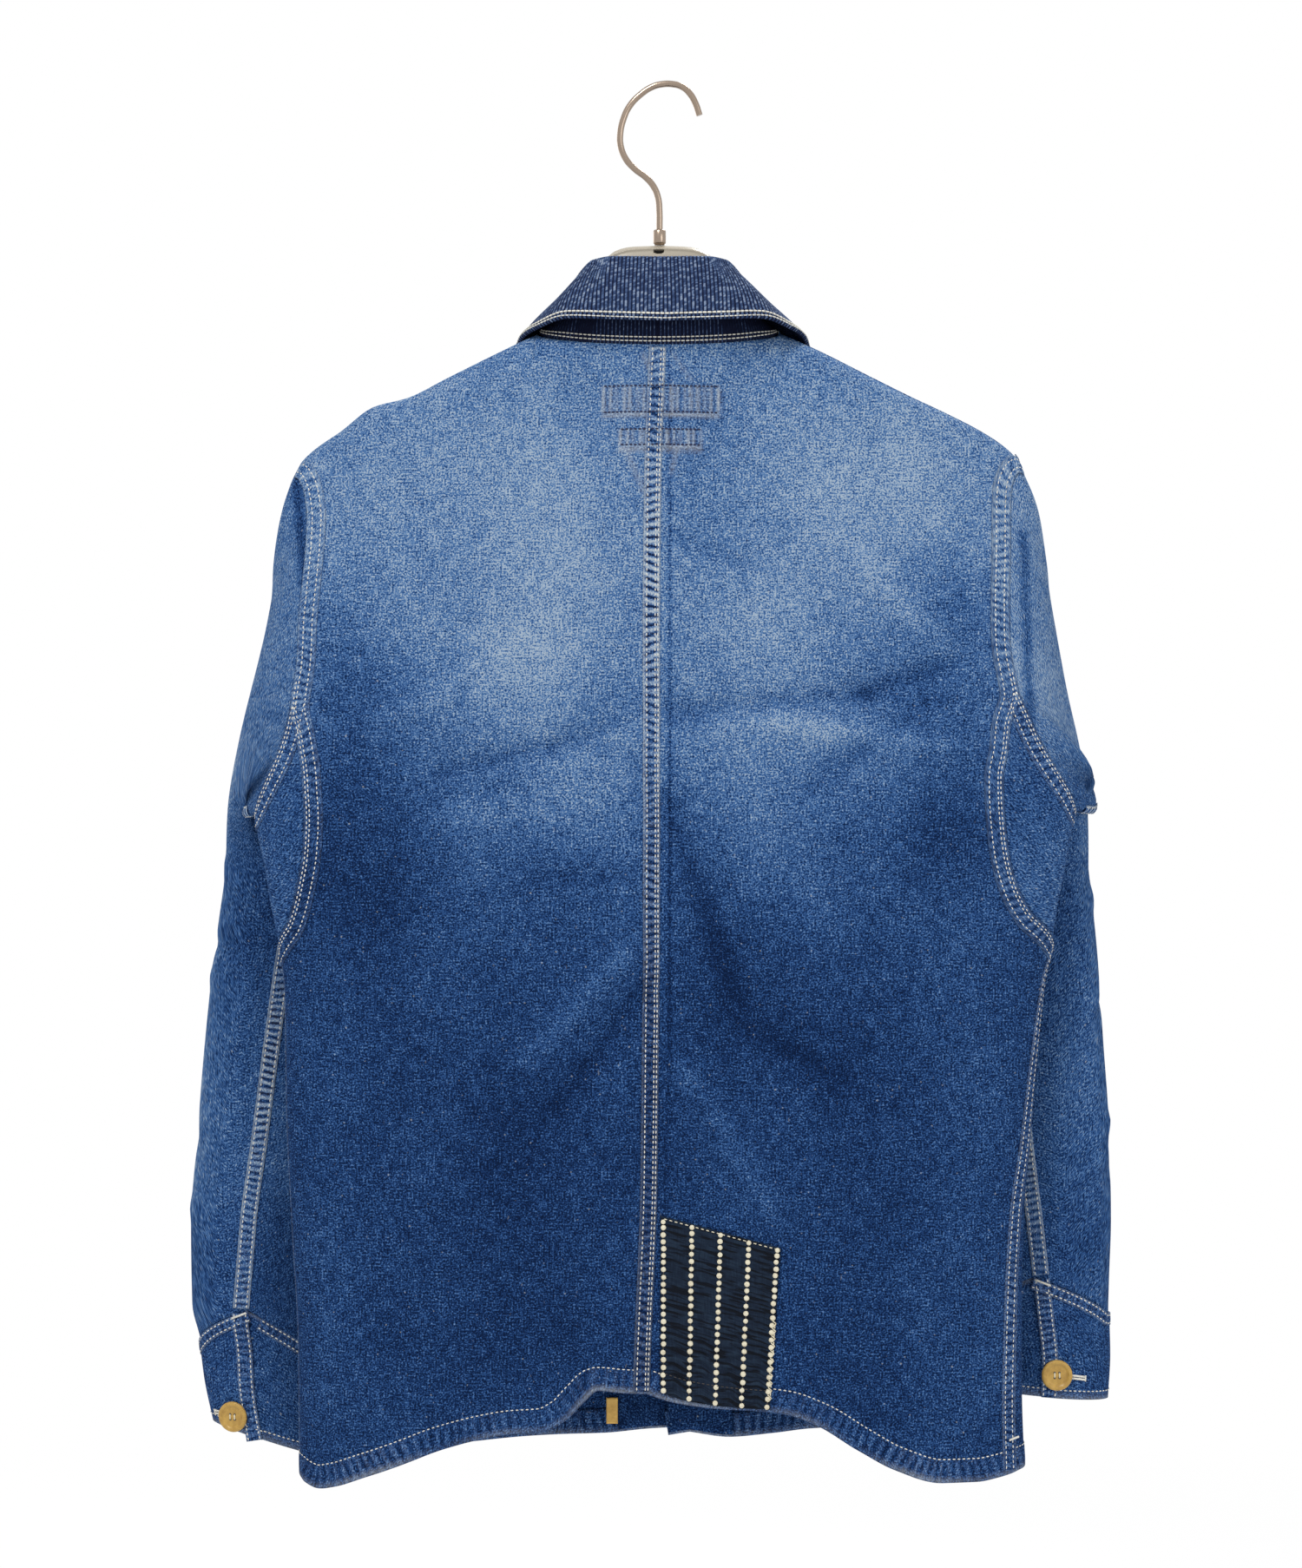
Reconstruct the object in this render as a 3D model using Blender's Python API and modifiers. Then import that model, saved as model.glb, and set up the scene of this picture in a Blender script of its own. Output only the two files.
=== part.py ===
"""Indigo work jacket with one dotted patch, hanging on a shaped hanger with a metal hook.

Metres, +Z up. The origin is the place where the hook rests on a rail. The jacket's back
faces -Y and its front +Y, so the wearer's left arm is at -X. "drop" is the distance below
the origin, and "out" the distance sideways from the jacket's centre line.

The body of the jacket is one smooth form, read by torso() from how far round it a point is
(0 centre back, 1 the side, 2 centre front) and how far down (0 shoulder, 1 hem). Each panel
is a sheet of that form between its own seams.
"""

import bisect
import math
from collections import namedtuple

import bmesh
import bpy
from mathutils import Vector

# ---------------------------------------------------------------- driving dimensions
CENTRE_X = -0.004            # the jacket's centre line, a little left of the hook's rest
CLOTH = 0.0014               # wall of the denim
COLLAR_CLOTH = 0.0024        # wall of the ribbed collar
SEAM_GAP = 0.0003            # between two pieces at a seam
SEAM_SETBACK = 0.5 * SEAM_GAP
RIDGE_SETBACK = 0.0009       # where two meet over the shoulder, at the neck, under the arm
SIDE_SETBACK = 0.0006        # where they meet round a side
ARMHOLE_SETBACK = 0.0018     # where the sleeve leaves the body at a sharp angle

SHOULDER_OUT = 0.2335        # the shoulder tip
SHOULDER_DROP = 0.248
SIDE_HEM_DROP = 0.887        # the hem at the side seams
NECK_OUT = 0.078             # the neck opening, half its width
NECK_DROP = 0.160            # the neck at the shoulder seam
NECK_BACK = 0.030            # how far the neck seam stands back of and before the ridge
NECK_FRONT = 0.038
NECK_BACK_DIP = 0.0095       # how far the neck seam dips below the ridge, behind and before
NECK_FRONT_DIP = 0.073

JUNCTION_DROP = 0.408        # where a gusset starts on the armhole
ARMPIT_DROP = 0.4666         # the gusset's upper corner, at the side
GUSSET_FOOT_DROP = 0.555     # the gusset's lower corner, at the side seam

OVERLAP = 0.014              # each front past the closure line
OVERLAP_LIFT = 0.0026        # the left front stands out by this, the right one lies in by it

SIGN = {"left": -1.0, "right": 1.0}

# ---------------------------------------------------------------- the body's tables
Ridge = namedtuple("Ridge", "out left right")
RIDGE = [
    Ridge(0.0780, 0.1600, 0.1600), Ridge(0.1000, 0.1705, 0.1695), Ridge(0.1350, 0.1880, 0.1870),
    Ridge(0.1610, 0.2010, 0.2000), Ridge(0.1830, 0.2068, 0.2103), Ridge(0.2050, 0.2230, 0.2215),
    Ridge(0.2200, 0.2330, 0.2310), Ridge(0.2300, 0.2420, 0.2405), Ridge(0.2335, 0.2480, 0.2480),
]

# half_width is the outline seen from behind. The edges say how far round a panel ends.
Side = namedtuple("Side", "drop half_width back_edge front_edge")
SIDES = {
    "left": [
        Side(0.2480, 0.2335, 1.000, 1.000), Side(0.2620, 0.2360, 0.860, 1.160),
        Side(0.2770, 0.2385, 0.797, 1.240), Side(0.2960, 0.2410, 0.764, 1.290),
        Side(0.3200, 0.2435, 0.756, 1.330), Side(0.3550, 0.2473, 0.755, 1.360),
        Side(0.3850, 0.2503, 0.745, 1.360), Side(0.4080, 0.2530, 0.751, 1.340),
        Side(0.4370, 0.2565, 0.706, 1.380), Side(0.4577, 0.2590, 0.677, 1.400),
        Side(0.4666, 0.2595, 0.672, 1.402), Side(0.4750, 0.2590, 0.671, 1.400),
        Side(0.5020, 0.2535, 0.700, 1.360), Side(0.5240, 0.2500, 0.745, 1.290),
        Side(0.5415, 0.2465, 0.817, 1.190), Side(0.5550, 0.2435, 1.000, 1.000),
        Side(0.5800, 0.2406, 1.000, 1.000), Side(0.6570, 0.2393, 1.000, 1.000),
        Side(0.7340, 0.2356, 1.000, 1.000), Side(0.8060, 0.2317, 1.000, 1.000),
        Side(0.8870, 0.2310, 1.000, 1.000),
    ],
    "right": [
        Side(0.2480, 0.2335, 1.000, 1.000), Side(0.2620, 0.2370, 0.835, 1.160),
        Side(0.2770, 0.2400, 0.778, 1.240), Side(0.2960, 0.2430, 0.752, 1.290),
        Side(0.3200, 0.2460, 0.733, 1.330), Side(0.3550, 0.2500, 0.707, 1.360),
        Side(0.3850, 0.2540, 0.692, 1.360), Side(0.4080, 0.2580, 0.697, 1.340),
        Side(0.4320, 0.2620, 0.655, 1.380), Side(0.4490, 0.2650, 0.636, 1.395),
        Side(0.4660, 0.2668, 0.617, 1.400), Side(0.4750, 0.2655, 0.622, 1.400),
        Side(0.5020, 0.2610, 0.648, 1.360), Side(0.5240, 0.2565, 0.692, 1.290),
        Side(0.5415, 0.2537, 0.769, 1.190), Side(0.5550, 0.2520, 1.000, 1.000),
        Side(0.5760, 0.2470, 0.992, 0.992), Side(0.6150, 0.2428, 0.970, 0.970),
        Side(0.6486, 0.2400, 0.950, 0.950), Side(0.6820, 0.2378, 0.928, 0.928),
        Side(0.7270, 0.2340, 0.895, 0.895), Side(0.7825, 0.2328, 0.872, 0.872),
        Side(0.8380, 0.2328, 0.858, 0.858), Side(0.8870, 0.2344, 0.850, 0.850),
    ],
}

# How far the hanging cloth stands back of, and before, the plane through the shoulders.
Depth = namedtuple("Depth", "drop back front")
DEPTHS = [
    Depth(0.25, 0.030, 0.030), Depth(0.35, 0.036, 0.034), Depth(0.50, 0.038, 0.036),
    Depth(0.65, 0.037, 0.034), Depth(0.80, 0.039, 0.034), Depth(0.90, 0.040, 0.034),
]

# The middle of the back and of the front wander a little from the centre line.
Middle = namedtuple("Middle", "drop back front")
MIDDLES = [
    Middle(0.17, -0.001, 0.000), Middle(0.25, -0.004, 0.002), Middle(0.35, -0.005, 0.004),
    Middle(0.70, -0.005, 0.014), Middle(0.83, -0.009, 0.019), Middle(0.89, -0.010, 0.020),
]

Hem = namedtuple("Hem", "out left right")
BACK_HEM = [
    Hem(0.000, 0.8350, 0.8345), Hem(0.016, 0.8342, 0.8398), Hem(0.030, 0.8330, 0.8424),
    Hem(0.041, 0.8420, 0.8438), Hem(0.051, 0.8520, 0.8447), Hem(0.066, 0.8590, 0.8455),
    Hem(0.087, 0.8605, 0.8478), Hem(0.109, 0.8645, 0.8560), Hem(0.133, 0.8710, 0.8715),
    Hem(0.155, 0.8790, 0.8840), Hem(0.184, 0.8890, 0.8928), Hem(0.205, 0.8960, 0.8928),
    Hem(0.217, 0.8980, 0.8910), Hem(0.226, 0.8955, 0.8890), Hem(0.231, 0.8925, 0.8875),
    Hem(0.2344, 0.8925, 0.8870),
]
FRONT_HEM = [
    Hem(0.000, 0.8690, 0.8715), Hem(0.026, 0.8703, 0.8749), Hem(0.055, 0.8730, 0.8725),
    Hem(0.082, 0.8737, 0.8695), Hem(0.120, 0.8760, 0.8680), Hem(0.190, 0.8850, 0.8800),
    Hem(0.231, 0.8925, 0.8868), Hem(0.2344, 0.8925, 0.8870),
]

# The largest folds of the back, each from one place to another. A negative height is a trough.
Fold = namedtuple("Fold", "x drop to_x to_drop width height")
BACK_FOLDS = [
    Fold(0.011, 0.404, 0.132, 0.393, 0.014, -0.0026),
    Fold(0.132, 0.393, 0.187, 0.373, 0.014, -0.0030),
    Fold(0.132, 0.310, 0.193, 0.376, 0.022, 0.0030),
    Fold(0.077, 0.411, 0.187, 0.428, 0.018, 0.0028),
    Fold(-0.138, 0.442, -0.040, 0.418, 0.014, -0.0028),
    Fold(-0.176, 0.409, -0.138, 0.392, 0.022, 0.0026),
    Fold(0.006, 0.464, 0.050, 0.586, 0.020, -0.0028),
    Fold(-0.022, 0.558, -0.083, 0.624, 0.020, 0.0026),
    Fold(-0.011, 0.590, -0.066, 0.662, 0.018, -0.0024),
    Fold(0.016, 0.630, 0.072, 0.718, 0.022, 0.0024),
    Fold(0.050, 0.602, 0.110, 0.635, 0.018, -0.0022),
    Fold(-0.205, 0.800, -0.170, 0.899, 0.020, 0.0030),
    Fold(0.150, 0.800, 0.135, 0.884, 0.018, -0.0026),
    Fold(-0.060, 0.800, -0.048, 0.860, 0.014, -0.0030),
]
FRONT_FOLDS = [
    Fold(-0.150, 0.330, -0.060, 0.420, 0.022, -0.0030),
    Fold(0.165, 0.320, 0.070, 0.430, 0.024, 0.0028),
    Fold(-0.110, 0.560, -0.040, 0.660, 0.022, 0.0026),
    Fold(0.100, 0.600, 0.045, 0.720, 0.020, -0.0026),
    Fold(-0.140, 0.780, -0.120, 0.872, 0.018, -0.0028),
    Fold(0.150, 0.770, 0.165, 0.876, 0.020, 0.0028),
]


def read(rows, column, at):
    """The column's value at a place along the table's first column, with no overshoot."""
    places = [row[0] for row in rows]
    values = [getattr(row, column) for row in rows]
    at = min(max(at, places[0]), places[-1])
    i = min(bisect.bisect_right(places, at), len(rows) - 1) - 1
    steps = [b - a for a, b in zip(places, places[1:])]
    rises = [(b - a) / step for a, b, step in zip(values, values[1:], steps)]

    def slope(k):
        if k in (0, len(rows) - 1):
            return rises[0] if k == 0 else rises[-1]
        before, after = rises[k - 1], rises[k]
        return 2.0 * before * after / (before + after) if before * after > 0.0 else 0.0

    t = (at - places[i]) / steps[i]
    return (
        values[i] * (1 + 2 * t) * (1 - t) ** 2 + slope(i) * steps[i] * t * (1 - t) ** 2
        + values[i + 1] * t * t * (3 - 2 * t) - slope(i + 1) * steps[i] * t * t * (1 - t)
    )


def fold_height(folds, x, drop):
    """How far the folds push the cloth out at this place."""
    total = 0.0
    for fold in folds:
        along = Vector((fold.to_x - fold.x, fold.to_drop - fold.drop))
        reach = Vector((x - fold.x, drop - fold.drop))
        t = reach.dot(along) / along.length_squared
        aside = (reach - along * min(max(t, 0.0), 1.0)).length / fold.width
        total += fold.height * math.exp(-aside * aside)
    return total


# ---------------------------------------------------------------- the body
def neck_line(face, out):
    """The neck seam at this distance out: how far it stands off the ridge, and its drop."""
    across = math.sqrt(max(0.0, 1.0 - (out / NECK_OUT) ** 2))
    if face == "back":
        return NECK_BACK * across, NECK_DROP + NECK_BACK_DIP * across
    return NECK_FRONT * math.sqrt(across), NECK_DROP + NECK_FRONT_DIP * across


def torso(side, around, down, lift=0.0):
    """A place on the jacket's body. lift moves it straight out from the back or the front."""
    face = "back" if around <= 1.0 else "front"
    share = math.sin(math.radians(90.0 * (around if face == "back" else 2.0 - around)))
    side_drop = SHOULDER_DROP + (SIDE_HEM_DROP - SHOULDER_DROP) * down
    wide = read(SIDES[side], "half_width", side_drop)
    out = abs(share) * SHOULDER_OUT
    neck_depth, top = neck_line(face, out)
    if out > NECK_OUT:
        top = read(RIDGE, side, out)
    hem = read(BACK_HEM if face == "back" else FRONT_HEM, side, abs(share) * wide)
    drop = top + (hem - top) * down
    x = SIGN[side] * wide * share + read(MIDDLES, face, drop) * (1.0 - share * share)

    below = drop - top
    roll = math.sqrt(1.0 - (1.0 - min(below / 0.018, 1.0)) ** 2)
    rise = 0.5 * roll + 0.5 * (1.0 - math.exp(-below / 0.12))
    if out < NECK_OUT:
        within = min(3.0 * (1.0 - out / NECK_OUT), 1.0)
        rise += ((1.0 - math.exp(-below / 0.10)) - rise) * within
    full = read(DEPTHS, face, drop) * (1.0 - abs(share) ** 3) ** (1.0 / 3.0)
    depth = neck_depth + (full - neck_depth) * rise
    folds = BACK_FOLDS if face == "back" else FRONT_FOLDS
    depth += fold_height(folds, x, drop) * (1.0 - share ** 6) * min(below / 0.03, 1.0)
    depth += lift
    return Vector((CENTRE_X + x, -depth if face == "back" else depth, -drop))


def side_down(side_drop):
    return (side_drop - SHOULDER_DROP) / (SIDE_HEM_DROP - SHOULDER_DROP)


# ---------------------------------------------------------------- sheets
def new_object(name, mesh, material, collection):
    item = bpy.data.objects.new(name, mesh)
    item.data.materials.append(material)
    collection.objects.link(item)
    return item


def grid_mesh(name, columns, rows, place, setback, tube=False, capped=False):
    """A grid whose points place(column, row) puts.

    setback has the distances by which its first and last column, and its first and last
    row, are drawn back from their seams. A tube is joined along its first and last column,
    and capped where it is solid.
    """
    shape = bmesh.new()
    last_column, last_row = len(columns) - 1, len(rows) - 1
    bmesh.ops.create_grid(shape, x_segments=last_column, y_segments=last_row, size=0.5)
    grid = {}
    for point in shape.verts:
        i = round((point.co.x + 0.5) * last_column)
        j = round((point.co.y + 0.5) * last_row)
        grid[i, j] = point
        point.co = place(columns[i], rows[j])
    first_side, last_side, first_end, last_end = setback
    moves = []
    for (i, j), point in grid.items():
        if i == 0 and first_side:
            moves.append((point, grid[1, j].co - point.co, first_side))
        if i == last_column and last_side:
            moves.append((point, grid[i - 1, j].co - point.co, last_side))
        if j == 0 and first_end:
            moves.append((point, grid[i, 1].co - point.co, first_end))
        if j == last_row and last_end:
            moves.append((point, grid[i, j - 1].co - point.co, last_end))
    for point, way, distance in moves:
        point.co += way.normalized() * distance
    if tube:
        bmesh.ops.remove_doubles(shape, verts=shape.verts, dist=0.00005)
    if capped:
        bmesh.ops.holes_fill(shape, edges=shape.edges)
    bmesh.ops.recalc_face_normals(shape, faces=shape.faces)
    for edge in shape.edges:
        edge.smooth = not edge.is_boundary
    mesh = bpy.data.meshes.new(name)
    shape.to_mesh(mesh)
    shape.free()
    mesh.shade_smooth()
    return mesh


def sheet(name, columns, rows, place, material, collection, setback, wall=CLOTH, tube=False):
    """A sheet of cloth: a grid of points, given a wall thickness."""
    mesh = grid_mesh(name, columns, rows, place, setback, tube)
    item = new_object(name, mesh, material, collection)
    solid = item.modifiers.new("wall", "SOLIDIFY")
    solid.thickness = wall
    solid.offset = 0.0
    return item


def steps(first, last, count):
    return [first + (last - first) * i / count for i in range(count + 1)]


# ---------------------------------------------------------------- back and front panels
NECK_SHARE = NECK_OUT / SHOULDER_OUT
OVERLAP_ANGLE = math.degrees(math.asin(OVERLAP / NECK_OUT))
NECK_ANGLES = {              # of a panel's columns, round the neck from the centre
    "back": [0.0, 35.0, 65.0, 90.0],
    "front": [-OVERLAP_ANGLE, 20.0, 45.0, 65.0, 80.0, 90.0],
}
OUTER_STEPS = {"back": 8, "front": 7}        # columns between the neck and the edge

# Side drops at which every panel, gusset and sleeve has its points, so that the seams fit.
SHOULDER_ROWS = [0.2480, 0.2505, 0.2555, 0.2640, 0.2770, 0.2950]
ARMHOLE_ROWS = [0.3170, 0.3400, 0.3630, 0.3860, JUNCTION_DROP]
GUSSET_ROWS = [0.4300, 0.4525, 0.4750, 0.5000, 0.5275, GUSSET_FOOT_DROP]
SKIRT_ROWS = [0.5950, 0.6450, 0.7000, 0.7550, 0.8050, 0.8500, SIDE_HEM_DROP]
PANEL_ROWS = SHOULDER_ROWS + ARMHOLE_ROWS + GUSSET_ROWS + SKIRT_ROWS


def overlap_lift(side, around):
    """The left front lies over the right one, and they draw level away from the closure."""
    t = min(abs(2.0 - around) / 0.45, 1.0)
    return -SIGN[side] * OVERLAP_LIFT * (1.0 - t) ** 2 * (1.0 + 2.0 * t)


def neck_around(angle):
    """How far round the body a point of the neck seam is, from its angle round the neck."""
    return math.degrees(math.asin(NECK_SHARE * math.sin(math.radians(angle)))) / 90.0


def panel(side, face, column, side_drop):
    """A place on a back or front panel: column 0 is at the centre, the last one at its edge."""
    angles = NECK_ANGLES[face]
    outer = column - (len(angles) - 1)
    around = neck_around(angles[min(column, len(angles) - 1)])
    edge = read(SIDES[side], face + "_edge", side_drop)
    reach = edge if face == "back" else 2.0 - edge
    around += (reach - around) * max(outer, 0) / OUTER_STEPS[face]
    if face == "back":
        return torso(side, around, side_down(side_drop))
    return torso(side, 2.0 - around, side_down(side_drop), overlap_lift(side, 2.0 - around))


def panel_columns(face):
    return list(range(len(NECK_ANGLES[face]) + OUTER_STEPS[face]))


def make_panel(side, face, material, collection):
    centre = SEAM_SETBACK if face == "back" else 0.0
    return sheet(
        f"{face}_{side}", panel_columns(face), PANEL_ROWS, lambda u, v: panel(side, face, u, v),
        material, collection, (centre, SIDE_SETBACK, RIDGE_SETBACK, 0.0),
    )


def panel_facet(side, face, x, side_drop, lift=0.0):
    """The place at this x on the flat facets of a panel, along one side drop, moved out."""
    places = [panel(side, face, column, side_drop) for column in panel_columns(face)]
    outs = [SIGN[side] * (place.x - CENTRE_X) for place in places]
    after = min(max(bisect.bisect_left(outs, SIGN[side] * x), 1), len(outs) - 1)
    part = (SIGN[side] * x - outs[after - 1]) / (outs[after] - outs[after - 1])
    place = places[after - 1].lerp(places[after], part)
    place.y += -lift if face == "back" else lift
    return place


def on_panel(side, face, x, drop, lift=0.0):
    """The place at this x and drop on the facets of a panel, moved out."""
    side_drop = drop
    for _ in range(8):
        below = next(i for i, row in enumerate(PANEL_ROWS) if row >= min(side_drop, SIDE_HEM_DROP))
        above, below = PANEL_ROWS[below - 1], PANEL_ROWS[below]
        part = (side_drop - above) / (below - above)
        upper = panel_facet(side, face, x, above, lift)
        place = upper.lerp(panel_facet(side, face, x, below, lift), part)
        side_drop += drop + place.z
    return place


# ---------------------------------------------------------------- gussets
# The gusset's upper seam, where the sleeve joins it: reach runs from -1 at the back junction
# through 0 at the armpit to 1 at the front junction.
Foot = namedtuple("Foot", "reach around drop")
FEET = {
    "left": [
        Foot(-1.00, 0.751, JUNCTION_DROP), Foot(-0.75, 0.770, 0.4255), Foot(-0.45, 0.818, 0.4438),
        Foot(0.00, 1.000, ARMPIT_DROP), Foot(0.40, 1.190, 0.4470), Foot(0.72, 1.280, 0.4270),
        Foot(1.00, 1.340, JUNCTION_DROP),
    ],
    "right": [
        Foot(-1.00, 0.697, JUNCTION_DROP), Foot(-0.80, 0.716, 0.4170), Foot(-0.45, 0.785, 0.4430),
        Foot(0.00, 1.000, 0.4660), Foot(0.40, 1.190, 0.4470), Foot(0.72, 1.280, 0.4270),
        Foot(1.00, 1.340, JUNCTION_DROP),
    ],
}
GUSSET_STEPS = 3
GUSSET_END = 0.97            # the sheet stops just short of its pointed ends


def gusset(side, reach, across):
    """A place on the gusset: across is 0 on the sleeve's seam and 1 on the panel's."""
    foot_around = read(FEET[side], "around", reach)
    foot_drop = read(FEET[side], "drop", reach)
    side_drop = GUSSET_FOOT_DROP - (GUSSET_FOOT_DROP - JUNCTION_DROP) * abs(reach)
    column = "back_edge" if reach < 0.0 else "front_edge"
    seam_around = read(SIDES[side], column, side_drop)
    around = foot_around + (seam_around - foot_around) * across
    return torso(side, around, side_down(foot_drop + (side_drop - foot_drop) * across))


def gusset_reaches():
    """The places along a gusset that match the rows of the panels beside it."""
    span = GUSSET_FOOT_DROP - JUNCTION_DROP
    reaches = [GUSSET_END] + [(GUSSET_FOOT_DROP - row) / span for row in GUSSET_ROWS]
    return [-reach for reach in reaches] + reaches[-2::-1]


def make_gusset(side, material, collection):
    setback = (0.0, 0.0, RIDGE_SETBACK, SIDE_SETBACK)
    across = steps(0.0, 1.0, GUSSET_STEPS)
    name = f"gusset_{side}"
    return sheet(
        name, gusset_reaches(), across, lambda reach, v: gusset(side, reach, v),
        material, collection, setback,
    )


# ---------------------------------------------------------------- sleeves
# A sleeve hangs as a flattened tube. outer is its outer edge, half_width and half_depth its
# section, yaw how far its inner side is turned forward, and tilt how far that side hangs low.
Ring = namedtuple("Ring", "drop outer outer_y half_width half_depth yaw tilt")
SLEEVES = {
    "left": [
        Ring(0.505, 0.2825, 0.032, 0.076, 0.024, 20.0, 0.00),
        Ring(0.560, 0.2905, 0.034, 0.073, 0.025, 19.0, 0.00),
        Ring(0.620, 0.2970, 0.035, 0.070, 0.025, 18.0, 0.00),
        Ring(0.680, 0.3020, 0.036, 0.066, 0.026, 16.0, 0.00),
        Ring(0.740, 0.3063, 0.037, 0.061, 0.026, 14.0, 0.01),
        Ring(0.790, 0.3055, 0.037, 0.054, 0.026, 12.0, 0.05),
        Ring(0.814, 0.3000, 0.037, 0.050, 0.026, 11.0, 0.08),
        Ring(0.840, 0.2965, 0.037, 0.048, 0.026, 10.0, 0.20),
        Ring(0.866, 0.2910, 0.037, 0.047, 0.026, 10.0, 0.33),
    ],
    "right": [
        Ring(0.505, 0.2798, 0.032, 0.074, 0.024, 20.0, 0.00),
        Ring(0.560, 0.2858, 0.034, 0.072, 0.025, 19.0, 0.00),
        Ring(0.620, 0.2900, 0.035, 0.069, 0.025, 18.0, 0.00),
        Ring(0.680, 0.2942, 0.036, 0.065, 0.026, 16.0, 0.00),
        Ring(0.735, 0.2953, 0.037, 0.059, 0.026, 14.0, 0.00),
        Ring(0.775, 0.2940, 0.037, 0.053, 0.026, 12.0, 0.00),
        Ring(0.797, 0.2935, 0.037, 0.050, 0.026, 11.0, 0.00),
        Ring(0.823, 0.2940, 0.037, 0.048, 0.026, 10.0, -0.03),
        Ring(0.851, 0.2925, 0.037, 0.047, 0.026, 10.0, -0.08),
    ],
}
SEAM_ANGLE = {"left": 68.0, "right": 82.0}      # the underarm seam, round from the outer edge
CUFF_SEAM = {"left": 0.8157, "right": 0.7958}
CUFF_END = {"left": 0.866, "right": 0.851}
UPPER_RING = 0.505
CUFF_PEAK = 0.0255           # the cuff's seam rises to a point at the opening
CUFF_PEAK_SPREAD = 70.0
CUFF_LOW = {"left": 0.0105, "right": 0.0}        # and drops lower again, inwards of it
CUFF_LOW_ANGLE = 75.0
ARMHOLE_PART = 0.66          # of each half of the armhole, what lies above the gusset

# Which way, and how strongly, the sleeve leaves the armhole: outwards on the left and on the
# right, forwards and down. turn runs from 0 at the shoulder down the back edge to 0.5 at the
# armpit, and up the front edge to 1.
Leave = namedtuple("Leave", "turn left right forward down")
LEAVES = [
    Leave(0.00, 0.120, 0.120, 0.05, 0.20), Leave(0.05, 0.170, 0.170, 0.00, 0.20),
    Leave(0.10, 0.170, 0.170, 0.00, 0.20), Leave(0.20, 0.155, 0.155, 0.00, 0.16),
    Leave(0.31, 0.130, 0.160, 0.00, 0.13), Leave(0.40, 0.100, 0.230, 0.00, 0.10),
    Leave(0.45, 0.115, 0.200, 0.16, 0.06), Leave(0.50, 0.110, 0.160, 0.19, 0.02),
    Leave(0.56, 0.085, 0.140, 0.19, 0.02), Leave(0.65, 0.060, 0.060, 0.16, 0.05),
    Leave(0.81, 0.060, 0.060, 0.13, 0.12), Leave(0.90, 0.070, 0.070, 0.10, 0.15),
    Leave(0.95, 0.090, 0.090, 0.08, 0.20), Leave(1.00, 0.120, 0.120, 0.05, 0.20),
]
HANG_PULL = 0.16             # how straight the sleeve already hangs at its upper ring


def tube(side, angle, drop, out=0.0):
    """A place on the hanging sleeve or cuff. out moves it off the tube's surface."""
    rings = SLEEVES[side]
    sign = SIGN[side]
    yaw = math.radians(read(rings, "yaw", drop))
    half_width = read(rings, "half_width", drop)
    turn = math.radians(angle)
    along = Vector((-sign * math.cos(yaw), math.sin(yaw), -read(rings, "tilt", drop)))
    back = Vector((-sign * math.sin(yaw), -math.cos(yaw), 0.0))
    edge = Vector((CENTRE_X + sign * read(rings, "outer", drop), read(rings, "outer_y", drop), -drop))
    inward = (half_width + out) * (1.0 - math.cos(turn)) - out
    behind = (read(rings, "half_depth", drop) + out) * math.sin(turn)
    return edge + along * inward + back * behind


def armhole(side, turn):
    """A place on the armhole, from the shoulder round the back and up the front."""
    behind = turn <= 0.5
    part = 2.0 * turn if behind else 2.0 - 2.0 * turn
    if part <= ARMHOLE_PART:
        drop = SHOULDER_DROP + (JUNCTION_DROP - SHOULDER_DROP) * part / ARMHOLE_PART
        edge = read(SIDES[side], "back_edge" if behind else "front_edge", drop)
        return torso(side, edge, side_down(drop))
    reach = 1.0 - (part - ARMHOLE_PART) / (1.0 - ARMHOLE_PART)
    return gusset(side, -reach if behind else reach, 0.0)


def armhole_turns():
    """The turns that match the rows of the panels and the columns of the gusset."""
    rows = SHOULDER_ROWS + ARMHOLE_ROWS
    span = JUNCTION_DROP - SHOULDER_DROP
    parts = [ARMHOLE_PART * (row - SHOULDER_DROP) / span for row in rows]
    foot_span = GUSSET_FOOT_DROP - JUNCTION_DROP
    foot = [(row - JUNCTION_DROP) / foot_span for row in GUSSET_ROWS]
    parts += [ARMHOLE_PART + (1.0 - ARMHOLE_PART) * part for part in foot]
    half = [0.5 * part for part in parts]
    return half + [1.0 - turn for turn in half[-2::-1]]


def seam_drop(side, angle):
    """Where the cuff's seam lies: it rises to a point at the opening."""
    inward = (angle - SEAM_ANGLE[side] + 180.0) % 360.0 - 180.0
    rise = CUFF_PEAK * max(0.0, 1.0 - abs(inward) / CUFF_PEAK_SPREAD)
    low = max(0.0, 1.0 - abs(inward / CUFF_LOW_ANGLE - 1.0))
    return CUFF_SEAM[side] - rise + CUFF_LOW[side] * low


def sleeve(side, turn, length):
    """A place on the sleeve: length is 0 at the armhole, 1 at the upper ring, 2 at the cuff."""
    angle = SEAM_ANGLE[side] + 360.0 * (turn - 0.5)
    if length >= 1.0:
        return tube(side, angle, UPPER_RING + (seam_drop(side, angle) - UPPER_RING) * (length - 1.0))
    start, end = armhole(side, turn), tube(side, angle, UPPER_RING)
    leave = Vector((
        SIGN[side] * read(LEAVES, side, turn),
        read(LEAVES, "forward", turn),
        -read(LEAVES, "down", turn),
    ))
    arrive = Vector((0.0, 0.0, -HANG_PULL))
    t = length
    return (
        start * (1 + 2 * t) * (1 - t) ** 2 + leave * t * (1 - t) ** 2
        + end * t * t * (3 - 2 * t) - arrive * t * t * (1 - t)
    )


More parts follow.
